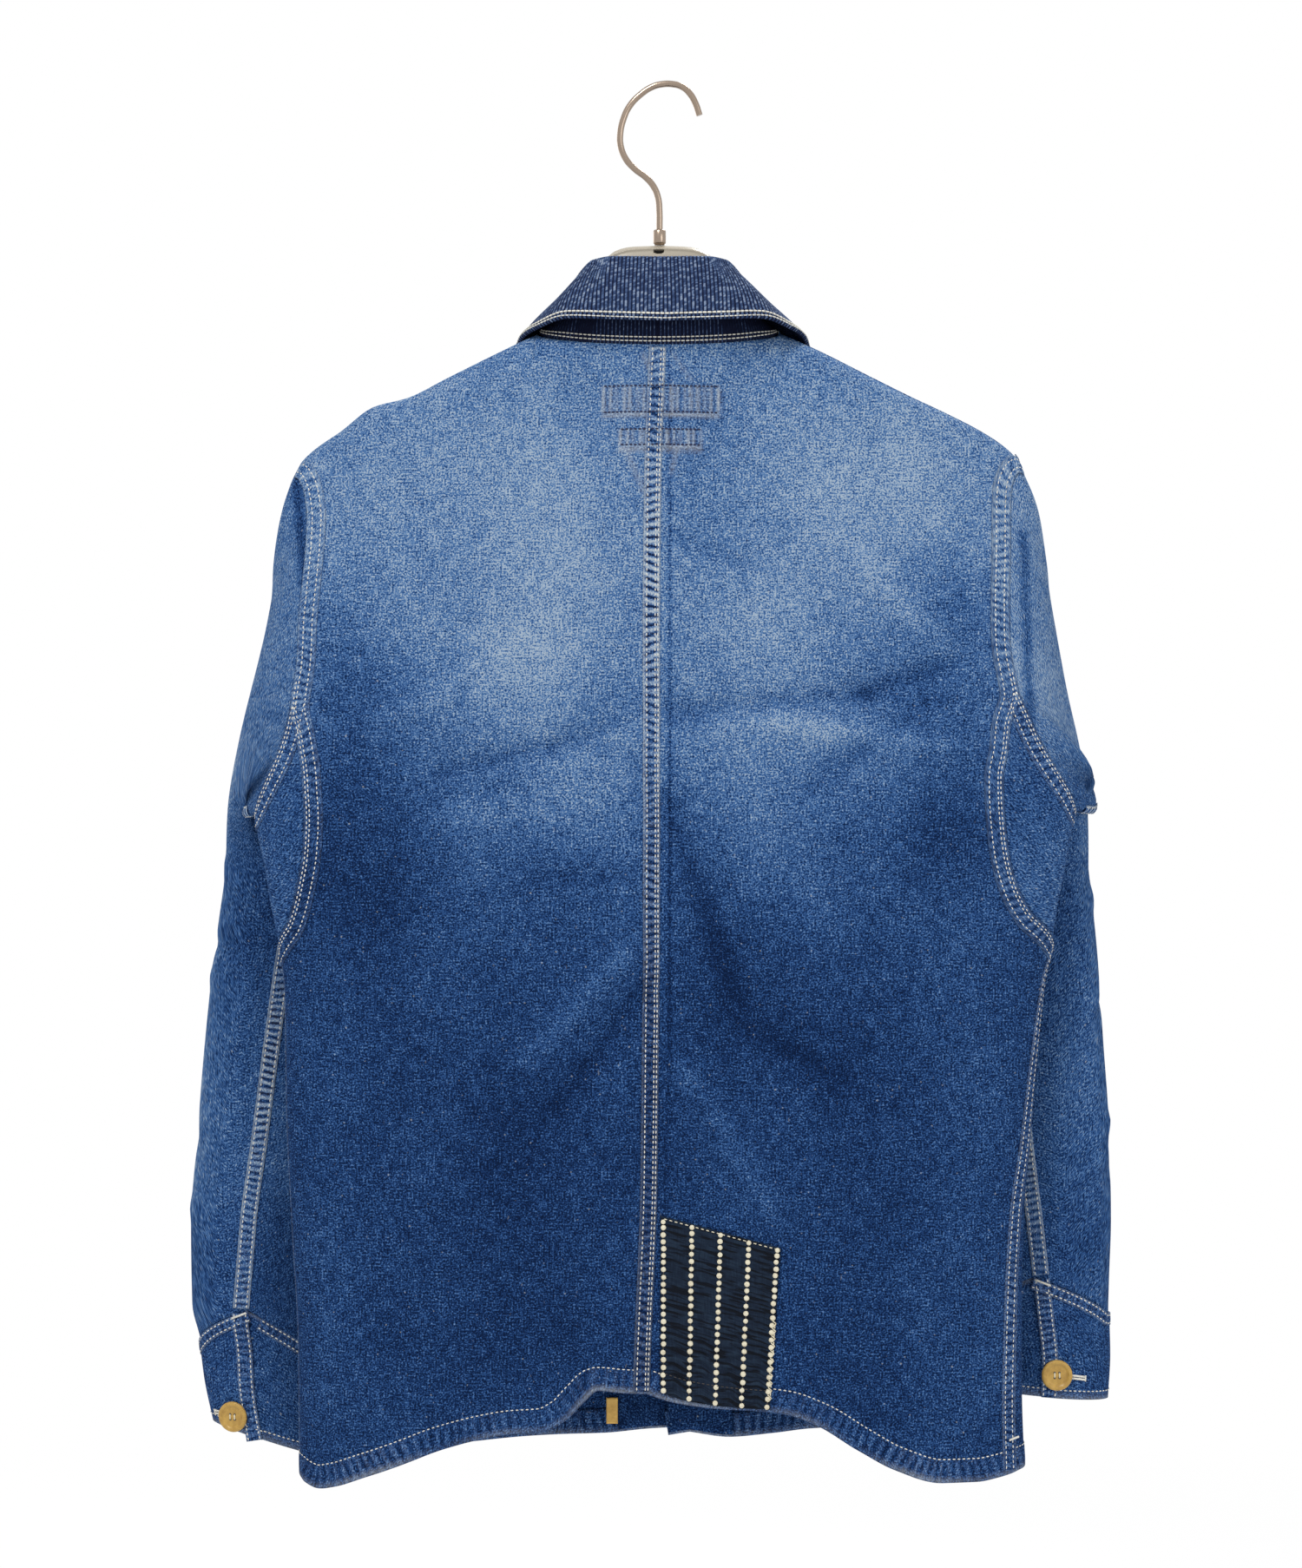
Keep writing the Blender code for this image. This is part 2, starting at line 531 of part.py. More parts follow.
def make_sleeve(side, material, collection):
    lengths = [0.0, 0.12, 0.32, 0.54, 0.77, 1.0, 1.25, 1.5, 1.78, 2.0]
    setback = (0.0, 0.0, ARMHOLE_SETBACK, SEAM_GAP)
    return sheet(
        f"sleeve_{side}", armhole_turns(), lengths, lambda turn, v: sleeve(side, turn, v),
        material, collection, setback, tube=True,
    )


# ---------------------------------------------------------------- cuffs
CUFF_LAP = 26.0              # degrees by which the cuff laps over itself
CUFF_LAP_LIFT = 0.0012       # its upper layer stands out by this, and its lower one lies in
CUFF_STEPS = 22


def make_cuff(side, material, collection):
    opening = SEAM_ANGLE[side]

    def place(turned, part):
        angle = opening - turned
        out = CUFF_LAP_LIFT * (1.0 - 2.0 * turned / (360.0 + CUFF_LAP))
        upper = seam_drop(side, angle)
        return tube(side, angle, upper + (CUFF_END[side] - upper) * part, out)

    columns = steps(0.0, 360.0 + CUFF_LAP, CUFF_STEPS)
    setback = (0.0, 0.0, 2.0 * SEAM_GAP, 0.0)
    return sheet(
        f"cuff_{side}", columns, steps(0.0, 1.0, 3), place, material, collection, setback
    )


# ---------------------------------------------------------------- collar
# One half of the collar, by the angle round the neck from the centre back: the line where
# it folds over, and the edge of its fall.
CollarLine = namedtuple("CollarLine", "angle fold_out fold_y fold_drop edge_out edge_y edge_drop")
COLLAR = [
    CollarLine(0.0, 0.0000, -0.024, 0.1140, 0.000, -0.044, 0.1560),
    CollarLine(35.0, 0.0300, -0.022, 0.1135, 0.045, -0.043, 0.1545),
    CollarLine(52.0, 0.0405, -0.016, 0.1145, 0.064, -0.036, 0.1535),
    CollarLine(72.0, 0.0530, -0.004, 0.1270, 0.080, -0.021, 0.1575),
    CollarLine(90.0, 0.0630, 0.010, 0.1405, 0.091, -0.001, 0.1615),
    CollarLine(100.0, 0.0650, 0.016, 0.1495, 0.096, 0.016, 0.1700),
    CollarLine(110.0, 0.0640, 0.022, 0.1600, 0.099, 0.028, 0.1840),
    CollarLine(135.0, 0.0540, 0.032, 0.1870, 0.097, 0.036, 0.2120),
    CollarLine(160.0, 0.0270, 0.039, 0.2130, 0.080, 0.040, 0.2440),
    CollarLine(177.0, 0.0080, 0.043, 0.2220, 0.048, 0.046, 0.2700),
]
COLLAR_LEAN = 0.0035         # the fall has slipped this far to the wearer's right
COLLAR_ANGLES = [0.0, 17.5, 35.0, 50.0, 65.0, 78.0, 90.0, 100.0, 115.0, 135.0, 160.0, 177.0]
COLLAR_FOLD = 0.0035         # radius of the fold
COLLAR_RAISE = 0.0003        # its lower edge above the neck seam, and more at the shoulders
COLLAR_SIDE_RAISE = 0.0010
COLLAR_SIDE_INSET = 0.0018   # and at the shoulders it stands inside the seam


def neck_seam(angle):
    """A place on the neck seam as the panels' columns draw it, raised clear of them."""
    face = "back" if abs(angle) <= 90.0 else "front"
    angles = NECK_ANGLES[face]
    from_centre = abs(angle) if face == "back" else 180.0 - abs(angle)
    after = min(max(bisect.bisect_left(angles, from_centre), 1), len(angles) - 1)
    side = "left" if angle < 0.0 else "right"
    ends = [panel(side, face, column, SHOULDER_DROP) for column in (after - 1, after)]
    part = (from_centre - angles[after - 1]) / (angles[after] - angles[after - 1])
    place = ends[0].lerp(ends[1], part)
    sideways = math.sin(math.radians(angle))
    place.x -= COLLAR_SIDE_INSET * sideways * abs(sideways)
    place.z += COLLAR_RAISE + COLLAR_SIDE_RAISE * sideways ** 2
    return place


def collar(angle, part):
    """A place on the collar: part runs from 0 at the neck seam, over the fold, to 1 at its edge."""
    sign = -1.0 if angle < 0.0 else 1.0
    turn = math.radians(angle)
    row = {column: read(COLLAR, column, abs(angle)) for column in CollarLine._fields[1:]}
    fold = Vector((CENTRE_X + sign * row["fold_out"], row["fold_y"], -row["fold_drop"]))
    edge_x = CENTRE_X + COLLAR_LEAN * math.cos(0.5 * turn) + sign * row["edge_out"]
    edge = Vector((edge_x, row["edge_y"], -row["edge_drop"]))
    outward = Vector((math.sin(turn), -math.cos(turn), 0.0))
    sunk = Vector((0.0, 0.0, -COLLAR_FOLD))
    inner = fold - outward * COLLAR_FOLD + sunk
    outer = fold + outward * COLLAR_FOLD + sunk
    if part <= 0.45:
        return neck_seam(angle).lerp(inner, part / 0.45)
    if part < 0.55:
        bend = math.pi * (part - 0.45) / 0.10
        return fold + sunk - outward * COLLAR_FOLD * math.cos(bend) - sunk * math.sin(bend)
    t = (part - 0.55) / 0.45
    bulge = outward * 0.003 * math.sin(math.pi * t)
    return outer.lerp(edge, t) + bulge


def make_collar(material, collection):
    angles = [-angle for angle in COLLAR_ANGLES[:0:-1]] + COLLAR_ANGLES
    parts = [0.0, 0.24, 0.45, 0.50, 0.55, 0.76, 1.0]
    setback = (0.0, 0.0, SEAM_SETBACK, 0.0)
    return sheet("collar", angles, parts, collar, material, collection, setback, COLLAR_CLOTH)


# ---------------------------------------------------------------- what lies on the panels
FACING_WIDTH = {"left": 0.060, "right": 0.042}
FACING_LIFT = 0.0019         # between the middles of a front and its facing
PATCH_LIFT = 0.0018
PATCH_LEFT = 0.0005
PATCH_RIGHT_TOP = 0.0766
PATCH_RIGHT_FOOT = 0.0698
PATCH_TOP_LEFT = 0.7231      # drops of its slanting upper edge
PATCH_TOP_RIGHT = 0.7435
PATCH_CLOTH = 0.0014
TAB_WIDTH = 0.0074
TAB_HEIGHT = 0.017
TAB_LIFT = 0.0018


def make_facing(side, material, collection):
    """A strip behind a front's free edge, with its points on the front's own facets."""
    def place(column, side_drop):
        x = panel(side, "front", column, side_drop).x - CENTRE_X
        if column == 2:
            edge = panel(side, "front", 0, side_drop).x - CENTRE_X
            x = edge + SIGN[side] * FACING_WIDTH[side]
        return panel_facet(side, "front", x, side_drop, -FACING_LIFT)

    setback = (0.0005, 0.0, 0.0, 0.0005)
    rows = PANEL_ROWS[4:]
    return sheet(f"facing_{side}", [0, 1, 2], rows, place, material, collection, setback)


def patch(across, part):
    right = PATCH_RIGHT_TOP + (PATCH_RIGHT_FOOT - PATCH_RIGHT_TOP) * part
    x = PATCH_LEFT + (right - PATCH_LEFT) * across
    top = PATCH_TOP_LEFT + (PATCH_TOP_RIGHT - PATCH_TOP_LEFT) * across
    foot = read(BACK_HEM, "right", x)
    return on_panel("right", "back", x, top + (foot - top) * part, PATCH_LIFT)


def make_patch(material, collection):
    columns = [0.0, 0.39, 0.77, 0.91, 1.0]
    rows = [0.0, 0.10, 0.52, 0.80, 1.0]
    return sheet("patch", columns, rows, patch, material, collection, (0, 0, 0, 0), PATCH_CLOTH)


def make_hem_tab(material, collection):
    foot = 0.8680
    right = read(MIDDLES, "front", foot) + OVERLAP - FACING_WIDTH["left"] - 0.0010

    def place(across, part):
        x = right - TAB_WIDTH * (1.0 - across)
        return on_panel("left", "front", x, foot - TAB_HEIGHT * (1.0 - part), -TAB_LIFT)

    halves = steps(0.0, 1.0, 2)
    return sheet("hem_tab", halves, halves, place, material, collection, (0, 0, 0, 0), 0.0013)


# ---------------------------------------------------------------- buttons
BUTTON_RADIUS = 0.0100
BUTTON_HEIGHT = 0.0030
BUTTON_GAP = 0.0006
BUTTON_SIDES = 16
CUFF_BUTTONS = {"left": (46.0, 0.8568), "right": (71.0, 0.8347)}     # angle round the cuff, drop
FRONT_BUTTON_DROPS = [0.252, 0.385, 0.518, 0.651, 0.784]


def turned(name, profile, sides, material, collection):
    """A solid of revolution about its own Z, from a profile run from top to bottom."""
    shape = bmesh.new()
    points = [shape.verts.new((radius, 0.0, height)) for radius, height in profile]
    for above, below in zip(points, points[1:]):
        shape.edges.new((above, below))
    mesh = bpy.data.meshes.new(name)
    shape.to_mesh(mesh)
    shape.free()
    item = new_object(name, mesh, material, collection)
    screw = item.modifiers.new("turn", "SCREW")
    screw.steps = screw.render_steps = sides
    screw.use_merge_vertices = True
    screw.merge_threshold = 0.00002
    screw.use_smooth_shade = True
    return item


def make_button(name, place, normal, material, collection):
    rim = BUTTON_HEIGHT
    profile = [
        (0.0, 0.7 * rim), (0.60 * BUTTON_RADIUS, 0.7 * rim), (0.72 * BUTTON_RADIUS, rim),
        (0.90 * BUTTON_RADIUS, rim), (BUTTON_RADIUS, 0.7 * rim), (BUTTON_RADIUS, 0.35 * rim),
        (0.85 * BUTTON_RADIUS, 0.0), (0.0, 0.0),
    ]
    button = turned(name, profile, BUTTON_SIDES, material, collection)
    button.location = place + normal * BUTTON_GAP
    button.rotation_mode = "QUATERNION"
    button.rotation_quaternion = normal.to_track_quat("Z", "Y")
    return button


def make_buttons(material, collection):
    for side, (angle, drop) in CUFF_BUTTONS.items():
        outside = CUFF_LAP_LIFT + 0.5 * CLOTH
        place = tube(side, angle, drop, outside)
        across = tube(side, angle - 5.0, drop) - tube(side, angle + 5.0, drop)
        along = tube(side, angle, drop + 0.005) - tube(side, angle, drop - 0.005)
        normal = across.cross(along).normalized()
        if normal.y > 0.0:
            normal.negate()
        make_button(f"button_cuff_{side}", place, normal, material, collection)
    for number, drop in enumerate(FRONT_BUTTON_DROPS, start=1):
        x = read(MIDDLES, "front", drop)
        place = on_panel("left", "front", x, drop, 0.5 * CLOTH)
        make_button(f"button_front_{number}", place, Vector((0.0, 1.0, 0.0)), material, collection)


# ---------------------------------------------------------------- hanger
WIRE_RADIUS = 0.0021
HOOK_ROUTE = [               # x and drop of the wire's middle, from the tip
    (0.0218, 0.0181), (0.0193, 0.0107), (0.0156, 0.0041), (0.0106, -0.0003), (0.0045, -0.0020),
    (-0.0020, -0.0020), (-0.0085, -0.0003), (-0.0160, 0.0045), (-0.0234, 0.0123),
    (-0.0275, 0.0212), (-0.0293, 0.0296), (-0.0291, 0.0376), (-0.0259, 0.0460),
    (-0.0201, 0.0526), (-0.0127, 0.0583), (-0.0078, 0.0641), (-0.0049, 0.0715),
    (-0.0041, 0.0795), (-0.0040, 0.0917),
]
FERRULE_TOP = 0.0920
FERRULE_FOOT = 0.1041
FERRULE_RADIUS = 0.0041

# The shaped body, by the distance out from its middle: its upper and lower edges.
HangerSection = namedtuple("HangerSection", "out top foot half_depth")
HANGER = [
    HangerSection(0.000, 0.1045, 0.1460, 0.0090), HangerSection(0.024, 0.1049, 0.1480, 0.0090),
    HangerSection(0.030, 0.1068, 0.1500, 0.0090), HangerSection(0.035, 0.1120, 0.1520, 0.0090),
    HangerSection(0.043, 0.1290, 0.1570, 0.0092), HangerSection(0.052, 0.1450, 0.1650, 0.0095),
    HangerSection(0.062, 0.1565, 0.1760, 0.0098), HangerSection(0.080, 0.1680, 0.1885, 0.0104),
    HangerSection(0.100, 0.1755, 0.1980, 0.0108), HangerSection(0.135, 0.1930, 0.2150, 0.0110),
    HangerSection(0.165, 0.2075, 0.2290, 0.0108), HangerSection(0.180, 0.2155, 0.2340, 0.0095),
    HangerSection(0.186, 0.2210, 0.2320, 0.0060),
]
HANGER_SIDES = 14


def hanger_body(angle, out):
    """A place on the hanger's rounded body."""
    turn = math.radians(angle)
    top, foot, half_depth = (read(HANGER, column, abs(out)) for column in HangerSection._fields[1:])
    drop = 0.5 * (top + foot) - 0.5 * (foot - top) * math.cos(turn)
    squared = math.copysign(abs(math.sin(turn)) ** 0.8, math.sin(turn))
    return Vector((CENTRE_X + out, half_depth * squared, -drop))


def make_hanger(shell, metal, collection):
    outs = [row.out for row in HANGER]
    outs = [-out for out in outs[:0:-1]] + outs
    angles = steps(0.0, 360.0, HANGER_SIDES)
    mesh = grid_mesh("hanger_body", angles, outs, hanger_body, (0, 0, 0, 0), True, True)
    new_object("hanger_body", mesh, shell, collection)

    profile = [
        (0.0, 0.0), (0.0035, 0.0), (FERRULE_RADIUS, -0.0007), (FERRULE_RADIUS, -0.0086),
        (0.0035, -0.0094), (0.0035, FERRULE_TOP - FERRULE_FOOT),
        (0.0, FERRULE_TOP - FERRULE_FOOT),
    ]
    ferrule = turned("hanger_ferrule", profile, 16, metal, collection)
    ferrule.location = (CENTRE_X, 0.0, -FERRULE_TOP)

    curve = bpy.data.curves.new("hanger_hook", "CURVE")
    curve.dimensions = "3D"
    curve.bevel_depth = WIRE_RADIUS
    curve.bevel_resolution = 2
    curve.use_fill_caps = True
    curve.resolution_u = 2
    line = curve.splines.new("BEZIER")
    line.bezier_points.add(len(HOOK_ROUTE) - 1)
    for point, (x, drop) in zip(line.bezier_points, HOOK_ROUTE):
        point.co = (x, 0.0, -drop)
        point.handle_left_type = point.handle_right_type = "AUTO"
    new_object("hanger_hook", curve, metal, collection)


# ---------------------------------------------------------------- materials and assembly
def make_material(name, colour, roughness, metallic=0.0):
    material = bpy.data.materials.new(name)
    material.use_nodes = True
    shader = material.node_tree.nodes["Principled BSDF"]
    shader.inputs["Base Color"].default_value = (*colour, 1.0)
    shader.inputs["Roughness"].default_value = roughness
    shader.inputs["Metallic"].default_value = metallic
    material.diffuse_color = (*colour, 1.0)
    return material


def main():
    for item in list(bpy.data.objects):
        bpy.data.objects.remove(item)
    jacket = bpy.data.collections.new("indigo_work_jacket")
    bpy.context.scene.collection.children.link(jacket)

    denim = make_material("indigo denim", (0.035, 0.085, 0.22), 0.9)
    sleeve_denim = make_material("sleeve denim", (0.045, 0.10, 0.23), 0.9)
    ribbed = make_material("ribbed indigo cloth", (0.028, 0.045, 0.11), 0.9)
    dotted = make_material("dark dotted cloth", (0.013, 0.025, 0.052), 0.9)
    leather = make_material("tan leather", (0.66, 0.40, 0.09), 0.6)
    horn = make_material("tan button", (0.42, 0.27, 0.09), 0.4)
    shell = make_material("champagne plastic", (0.41, 0.36, 0.28), 0.35)
    metal = make_material("polished metal", (0.57, 0.47, 0.38), 0.15, 1.0)

    for side in SIGN:
        for face in ("back", "front"):
            make_panel(side, face, denim, jacket)
        make_gusset(side, denim, jacket)
        make_sleeve(side, sleeve_denim, jacket)
        make_cuff(side, sleeve_denim, jacket)
        make_facing(side, denim, jacket)
    make_collar(ribbed, jacket)
    make_patch(dotted, jacket)
    make_hem_tab(leather, jacket)
    make_buttons(horn, jacket)
    make_hanger(shell, metal, jacket)


main()
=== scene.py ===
"""The look of the indigo work jacket on its hanger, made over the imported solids.

Metres, +Z up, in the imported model's frame: the origin is where the hook rests on a rail, the
jacket's back faces -Y, and the wearer's left arm is at -X. "drop" is the distance below the
origin. The form is the solids' own, from the same figures, on a finer grid and with more creases.
Only the hanger's middle stands 2 mm taller, over a shorter foot of its ferrule. The felled seams,
needle stitches, dots, ribs and buttonholes are added here.
"""

import math
from collections import namedtuple

import bmesh
import bpy
import numpy as np
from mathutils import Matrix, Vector


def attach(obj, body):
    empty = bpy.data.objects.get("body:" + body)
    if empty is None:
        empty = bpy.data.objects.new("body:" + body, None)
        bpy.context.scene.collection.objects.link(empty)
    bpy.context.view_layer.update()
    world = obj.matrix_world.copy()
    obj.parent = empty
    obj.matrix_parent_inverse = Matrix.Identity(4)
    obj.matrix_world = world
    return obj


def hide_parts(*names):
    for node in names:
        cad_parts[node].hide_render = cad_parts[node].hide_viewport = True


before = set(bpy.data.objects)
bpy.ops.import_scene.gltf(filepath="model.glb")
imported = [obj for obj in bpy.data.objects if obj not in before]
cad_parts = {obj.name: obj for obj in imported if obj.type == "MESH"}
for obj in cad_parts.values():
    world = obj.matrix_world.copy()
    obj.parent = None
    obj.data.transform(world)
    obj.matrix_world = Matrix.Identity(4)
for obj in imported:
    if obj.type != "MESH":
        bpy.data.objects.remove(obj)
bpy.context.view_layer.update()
CHANCE = np.random.default_rng(7)

# ---------------------------------------------------------------- the form, as in the solids

CENTRE_X = -0.004            # the jacket's centre line, a little left of the hook's rest

SHOULDER_OUT = 0.2335        # the shoulder tip
SHOULDER_DROP = 0.248
SIDE_HEM_DROP = 0.887        # the hem at the side seams
NECK_OUT = 0.078             # the neck opening, half its width
NECK_DROP = 0.160            # the neck at the shoulder seam
NECK_BACK = 0.030            # how far the neck seam stands back of and before the ridge
NECK_FRONT = 0.038
NECK_BACK_DIP = 0.0095       # how far the neck seam dips below the ridge, behind and before
NECK_FRONT_DIP = 0.073

JUNCTION_DROP = 0.408        # where a gusset starts on the armhole
ARMPIT_DROP = 0.4666         # the gusset's upper corner, at the side
GUSSET_FOOT_DROP = 0.555     # the gusset's lower corner, at the side seam

OVERLAP = 0.014              # each front past the closure line
OVERLAP_LIFT = 0.0026        # the left front stands out by this, the right one lies in by it
OVERLAP_LEVEL = 0.45         # from here on round the body the two fronts lie level

SIGN = {"left": -1.0, "right": 1.0}              # which way along X a side lies
OUTWARD = {"back": -1.0, "front": 1.0}           # which way along Y a face looks

Ridge = namedtuple("Ridge", "out left right")
RIDGE = [
    Ridge(0.0780, 0.1600, 0.1600), Ridge(0.1000, 0.1705, 0.1695), Ridge(0.1350, 0.1880, 0.1870),
    Ridge(0.1610, 0.2010, 0.2000), Ridge(0.1830, 0.2068, 0.2103), Ridge(0.2050, 0.2230, 0.2215),
    Ridge(0.2200, 0.2330, 0.2310), Ridge(0.2300, 0.2420, 0.2405), Ridge(0.2335, 0.2480, 0.2480),
]

# half_width is the outline seen from behind. The edges say how far round a panel ends.
Side = namedtuple("Side", "drop half_width back_edge front_edge")
SIDES = {
    "left": [
        Side(0.2480, 0.2335, 1.000, 1.000), Side(0.2620, 0.2360, 0.860, 1.160),
        Side(0.2770, 0.2385, 0.797, 1.240), Side(0.2960, 0.2410, 0.764, 1.290),
        Side(0.3200, 0.2435, 0.756, 1.330), Side(0.3550, 0.2473, 0.755, 1.360),
        Side(0.3850, 0.2503, 0.745, 1.360), Side(0.4080, 0.2530, 0.751, 1.340),
        Side(0.4370, 0.2565, 0.706, 1.380), Side(0.4577, 0.2590, 0.677, 1.400),
        Side(0.4666, 0.2595, 0.672, 1.402), Side(0.4750, 0.2590, 0.671, 1.400),
        Side(0.5020, 0.2535, 0.700, 1.360), Side(0.5240, 0.2500, 0.745, 1.290),
        Side(0.5415, 0.2465, 0.817, 1.190), Side(0.5550, 0.2435, 1.000, 1.000),
        Side(0.5800, 0.2406, 1.000, 1.000), Side(0.6570, 0.2393, 1.000, 1.000),
        Side(0.7340, 0.2356, 1.000, 1.000), Side(0.8060, 0.2317, 1.000, 1.000),
        Side(0.8870, 0.2310, 1.000, 1.000),
    ],
    "right": [
        Side(0.2480, 0.2335, 1.000, 1.000), Side(0.2620, 0.2370, 0.835, 1.160),
        Side(0.2770, 0.2400, 0.778, 1.240), Side(0.2960, 0.2430, 0.752, 1.290),
        Side(0.3200, 0.2460, 0.733, 1.330), Side(0.3550, 0.2500, 0.707, 1.360),
        Side(0.3850, 0.2540, 0.692, 1.360), Side(0.4080, 0.2580, 0.697, 1.340),
        Side(0.4320, 0.2620, 0.655, 1.380), Side(0.4490, 0.2650, 0.636, 1.395),
        Side(0.4660, 0.2668, 0.617, 1.400), Side(0.4750, 0.2655, 0.622, 1.400),
        Side(0.5020, 0.2610, 0.648, 1.360), Side(0.5240, 0.2565, 0.692, 1.290),
        Side(0.5415, 0.2537, 0.769, 1.190), Side(0.5550, 0.2520, 1.000, 1.000),
        Side(0.5760, 0.2470, 0.992, 0.992), Side(0.6150, 0.2428, 0.970, 0.970),
        Side(0.6486, 0.2400, 0.950, 0.950), Side(0.6820, 0.2378, 0.928, 0.928),
        Side(0.7270, 0.2340, 0.895, 0.895), Side(0.7825, 0.2328, 0.872, 0.872),
        Side(0.8380, 0.2328, 0.858, 0.858), Side(0.8870, 0.2344, 0.850, 0.850),
    ],
}

# How far the hanging cloth stands back of, and before, the plane through the shoulders.
Depth = namedtuple("Depth", "drop back front")
DEPTHS = [
    Depth(0.25, 0.030, 0.030), Depth(0.35, 0.036, 0.034), Depth(0.50, 0.038, 0.036),
    Depth(0.65, 0.037, 0.034), Depth(0.80, 0.039, 0.034), Depth(0.90, 0.040, 0.034),
]

# The middle of the back and of the front wander a little from the centre line.
Middle = namedtuple("Middle", "drop back front")
MIDDLES = [
    Middle(0.17, -0.001, 0.000), Middle(0.25, -0.004, 0.002), Middle(0.35, -0.005, 0.004),
    Middle(0.70, -0.005, 0.014), Middle(0.83, -0.009, 0.019), Middle(0.89, -0.010, 0.020),
]

Hem = namedtuple("Hem", "out left right")
BACK_HEM = [
    Hem(0.000, 0.8350, 0.8345), Hem(0.016, 0.8342, 0.8398), Hem(0.030, 0.8330, 0.8424),
    Hem(0.041, 0.8420, 0.8438), Hem(0.051, 0.8520, 0.8447), Hem(0.066, 0.8590, 0.8455),
    Hem(0.087, 0.8605, 0.8478), Hem(0.109, 0.8645, 0.8560), Hem(0.133, 0.8710, 0.8715),
    Hem(0.155, 0.8790, 0.8840), Hem(0.184, 0.8890, 0.8928), Hem(0.205, 0.8960, 0.8928),
    Hem(0.217, 0.8980, 0.8910), Hem(0.226, 0.8955, 0.8890), Hem(0.231, 0.8925, 0.8875),
    Hem(0.2344, 0.8925, 0.8870),
]
FRONT_HEM = [
    Hem(0.000, 0.8690, 0.8715), Hem(0.026, 0.8703, 0.8749), Hem(0.055, 0.8730, 0.8725),
    Hem(0.082, 0.8737, 0.8695), Hem(0.120, 0.8760, 0.8680), Hem(0.190, 0.8850, 0.8800),
    Hem(0.231, 0.8925, 0.8868), Hem(0.2344, 0.8925, 0.8870),
]

# The largest folds of the back, each from one place to another. A negative height is a trough.
Fold = namedtuple("Fold", "x drop to_x to_drop width height")
BACK_FOLDS = [
    Fold(0.011, 0.404, 0.132, 0.393, 0.014, -0.0026),
    Fold(0.132, 0.393, 0.187, 0.373, 0.014, -0.0030),
    Fold(0.132, 0.310, 0.193, 0.376, 0.022, 0.0030),
    Fold(0.077, 0.411, 0.187, 0.428, 0.018, 0.0028),
    Fold(-0.138, 0.442, -0.040, 0.418, 0.014, -0.0028),
    Fold(-0.176, 0.409, -0.138, 0.392, 0.022, 0.0026),
    Fold(0.006, 0.464, 0.050, 0.586, 0.020, -0.0028),
    Fold(-0.022, 0.558, -0.083, 0.624, 0.020, 0.0026),
    Fold(-0.011, 0.590, -0.066, 0.662, 0.018, -0.0024),
    Fold(0.016, 0.630, 0.072, 0.718, 0.022, 0.0024),
    Fold(0.050, 0.602, 0.110, 0.635, 0.018, -0.0022),
    Fold(-0.205, 0.800, -0.170, 0.899, 0.020, 0.0030),
    Fold(0.150, 0.800, 0.135, 0.884, 0.018, -0.0026),
    Fold(-0.060, 0.800, -0.048, 0.860, 0.014, -0.0030),
]
FRONT_FOLDS = [
    Fold(-0.150, 0.330, -0.060, 0.420, 0.022, -0.0030),
    Fold(0.165, 0.320, 0.070, 0.430, 0.024, 0.0028),
    Fold(-0.110, 0.560, -0.040, 0.660, 0.022, 0.0026),
    Fold(0.100, 0.600, 0.045, 0.720, 0.020, -0.0026),
    Fold(-0.140, 0.780, -0.120, 0.872, 0.018, -0.0028),
    Fold(0.150, 0.770, 0.165, 0.876, 0.020, 0.0028),
]

NECK_SHARE = NECK_OUT / SHOULDER_OUT
OVERLAP_ANGLE = math.degrees(math.asin(OVERLAP / NECK_OUT))

# The gusset's edge on the sleeve: reach runs from -1 at its back end to 1 at its front end.
Foot = namedtuple("Foot", "reach around drop")
FEET = {
    "left": [
        Foot(-1.00, 0.751, JUNCTION_DROP), Foot(-0.75, 0.770, 0.4255), Foot(-0.45, 0.818, 0.4438),
        Foot(0.00, 1.000, ARMPIT_DROP), Foot(0.40, 1.190, 0.4470), Foot(0.72, 1.280, 0.4270),
        Foot(1.00, 1.340, JUNCTION_DROP),
    ],
    "right": [
        Foot(-1.00, 0.697, JUNCTION_DROP), Foot(-0.80, 0.716, 0.4170), Foot(-0.45, 0.785, 0.4430),
        Foot(0.00, 1.000, 0.4660), Foot(0.40, 1.190, 0.4470), Foot(0.72, 1.280, 0.4270),
        Foot(1.00, 1.340, JUNCTION_DROP),
    ],
}

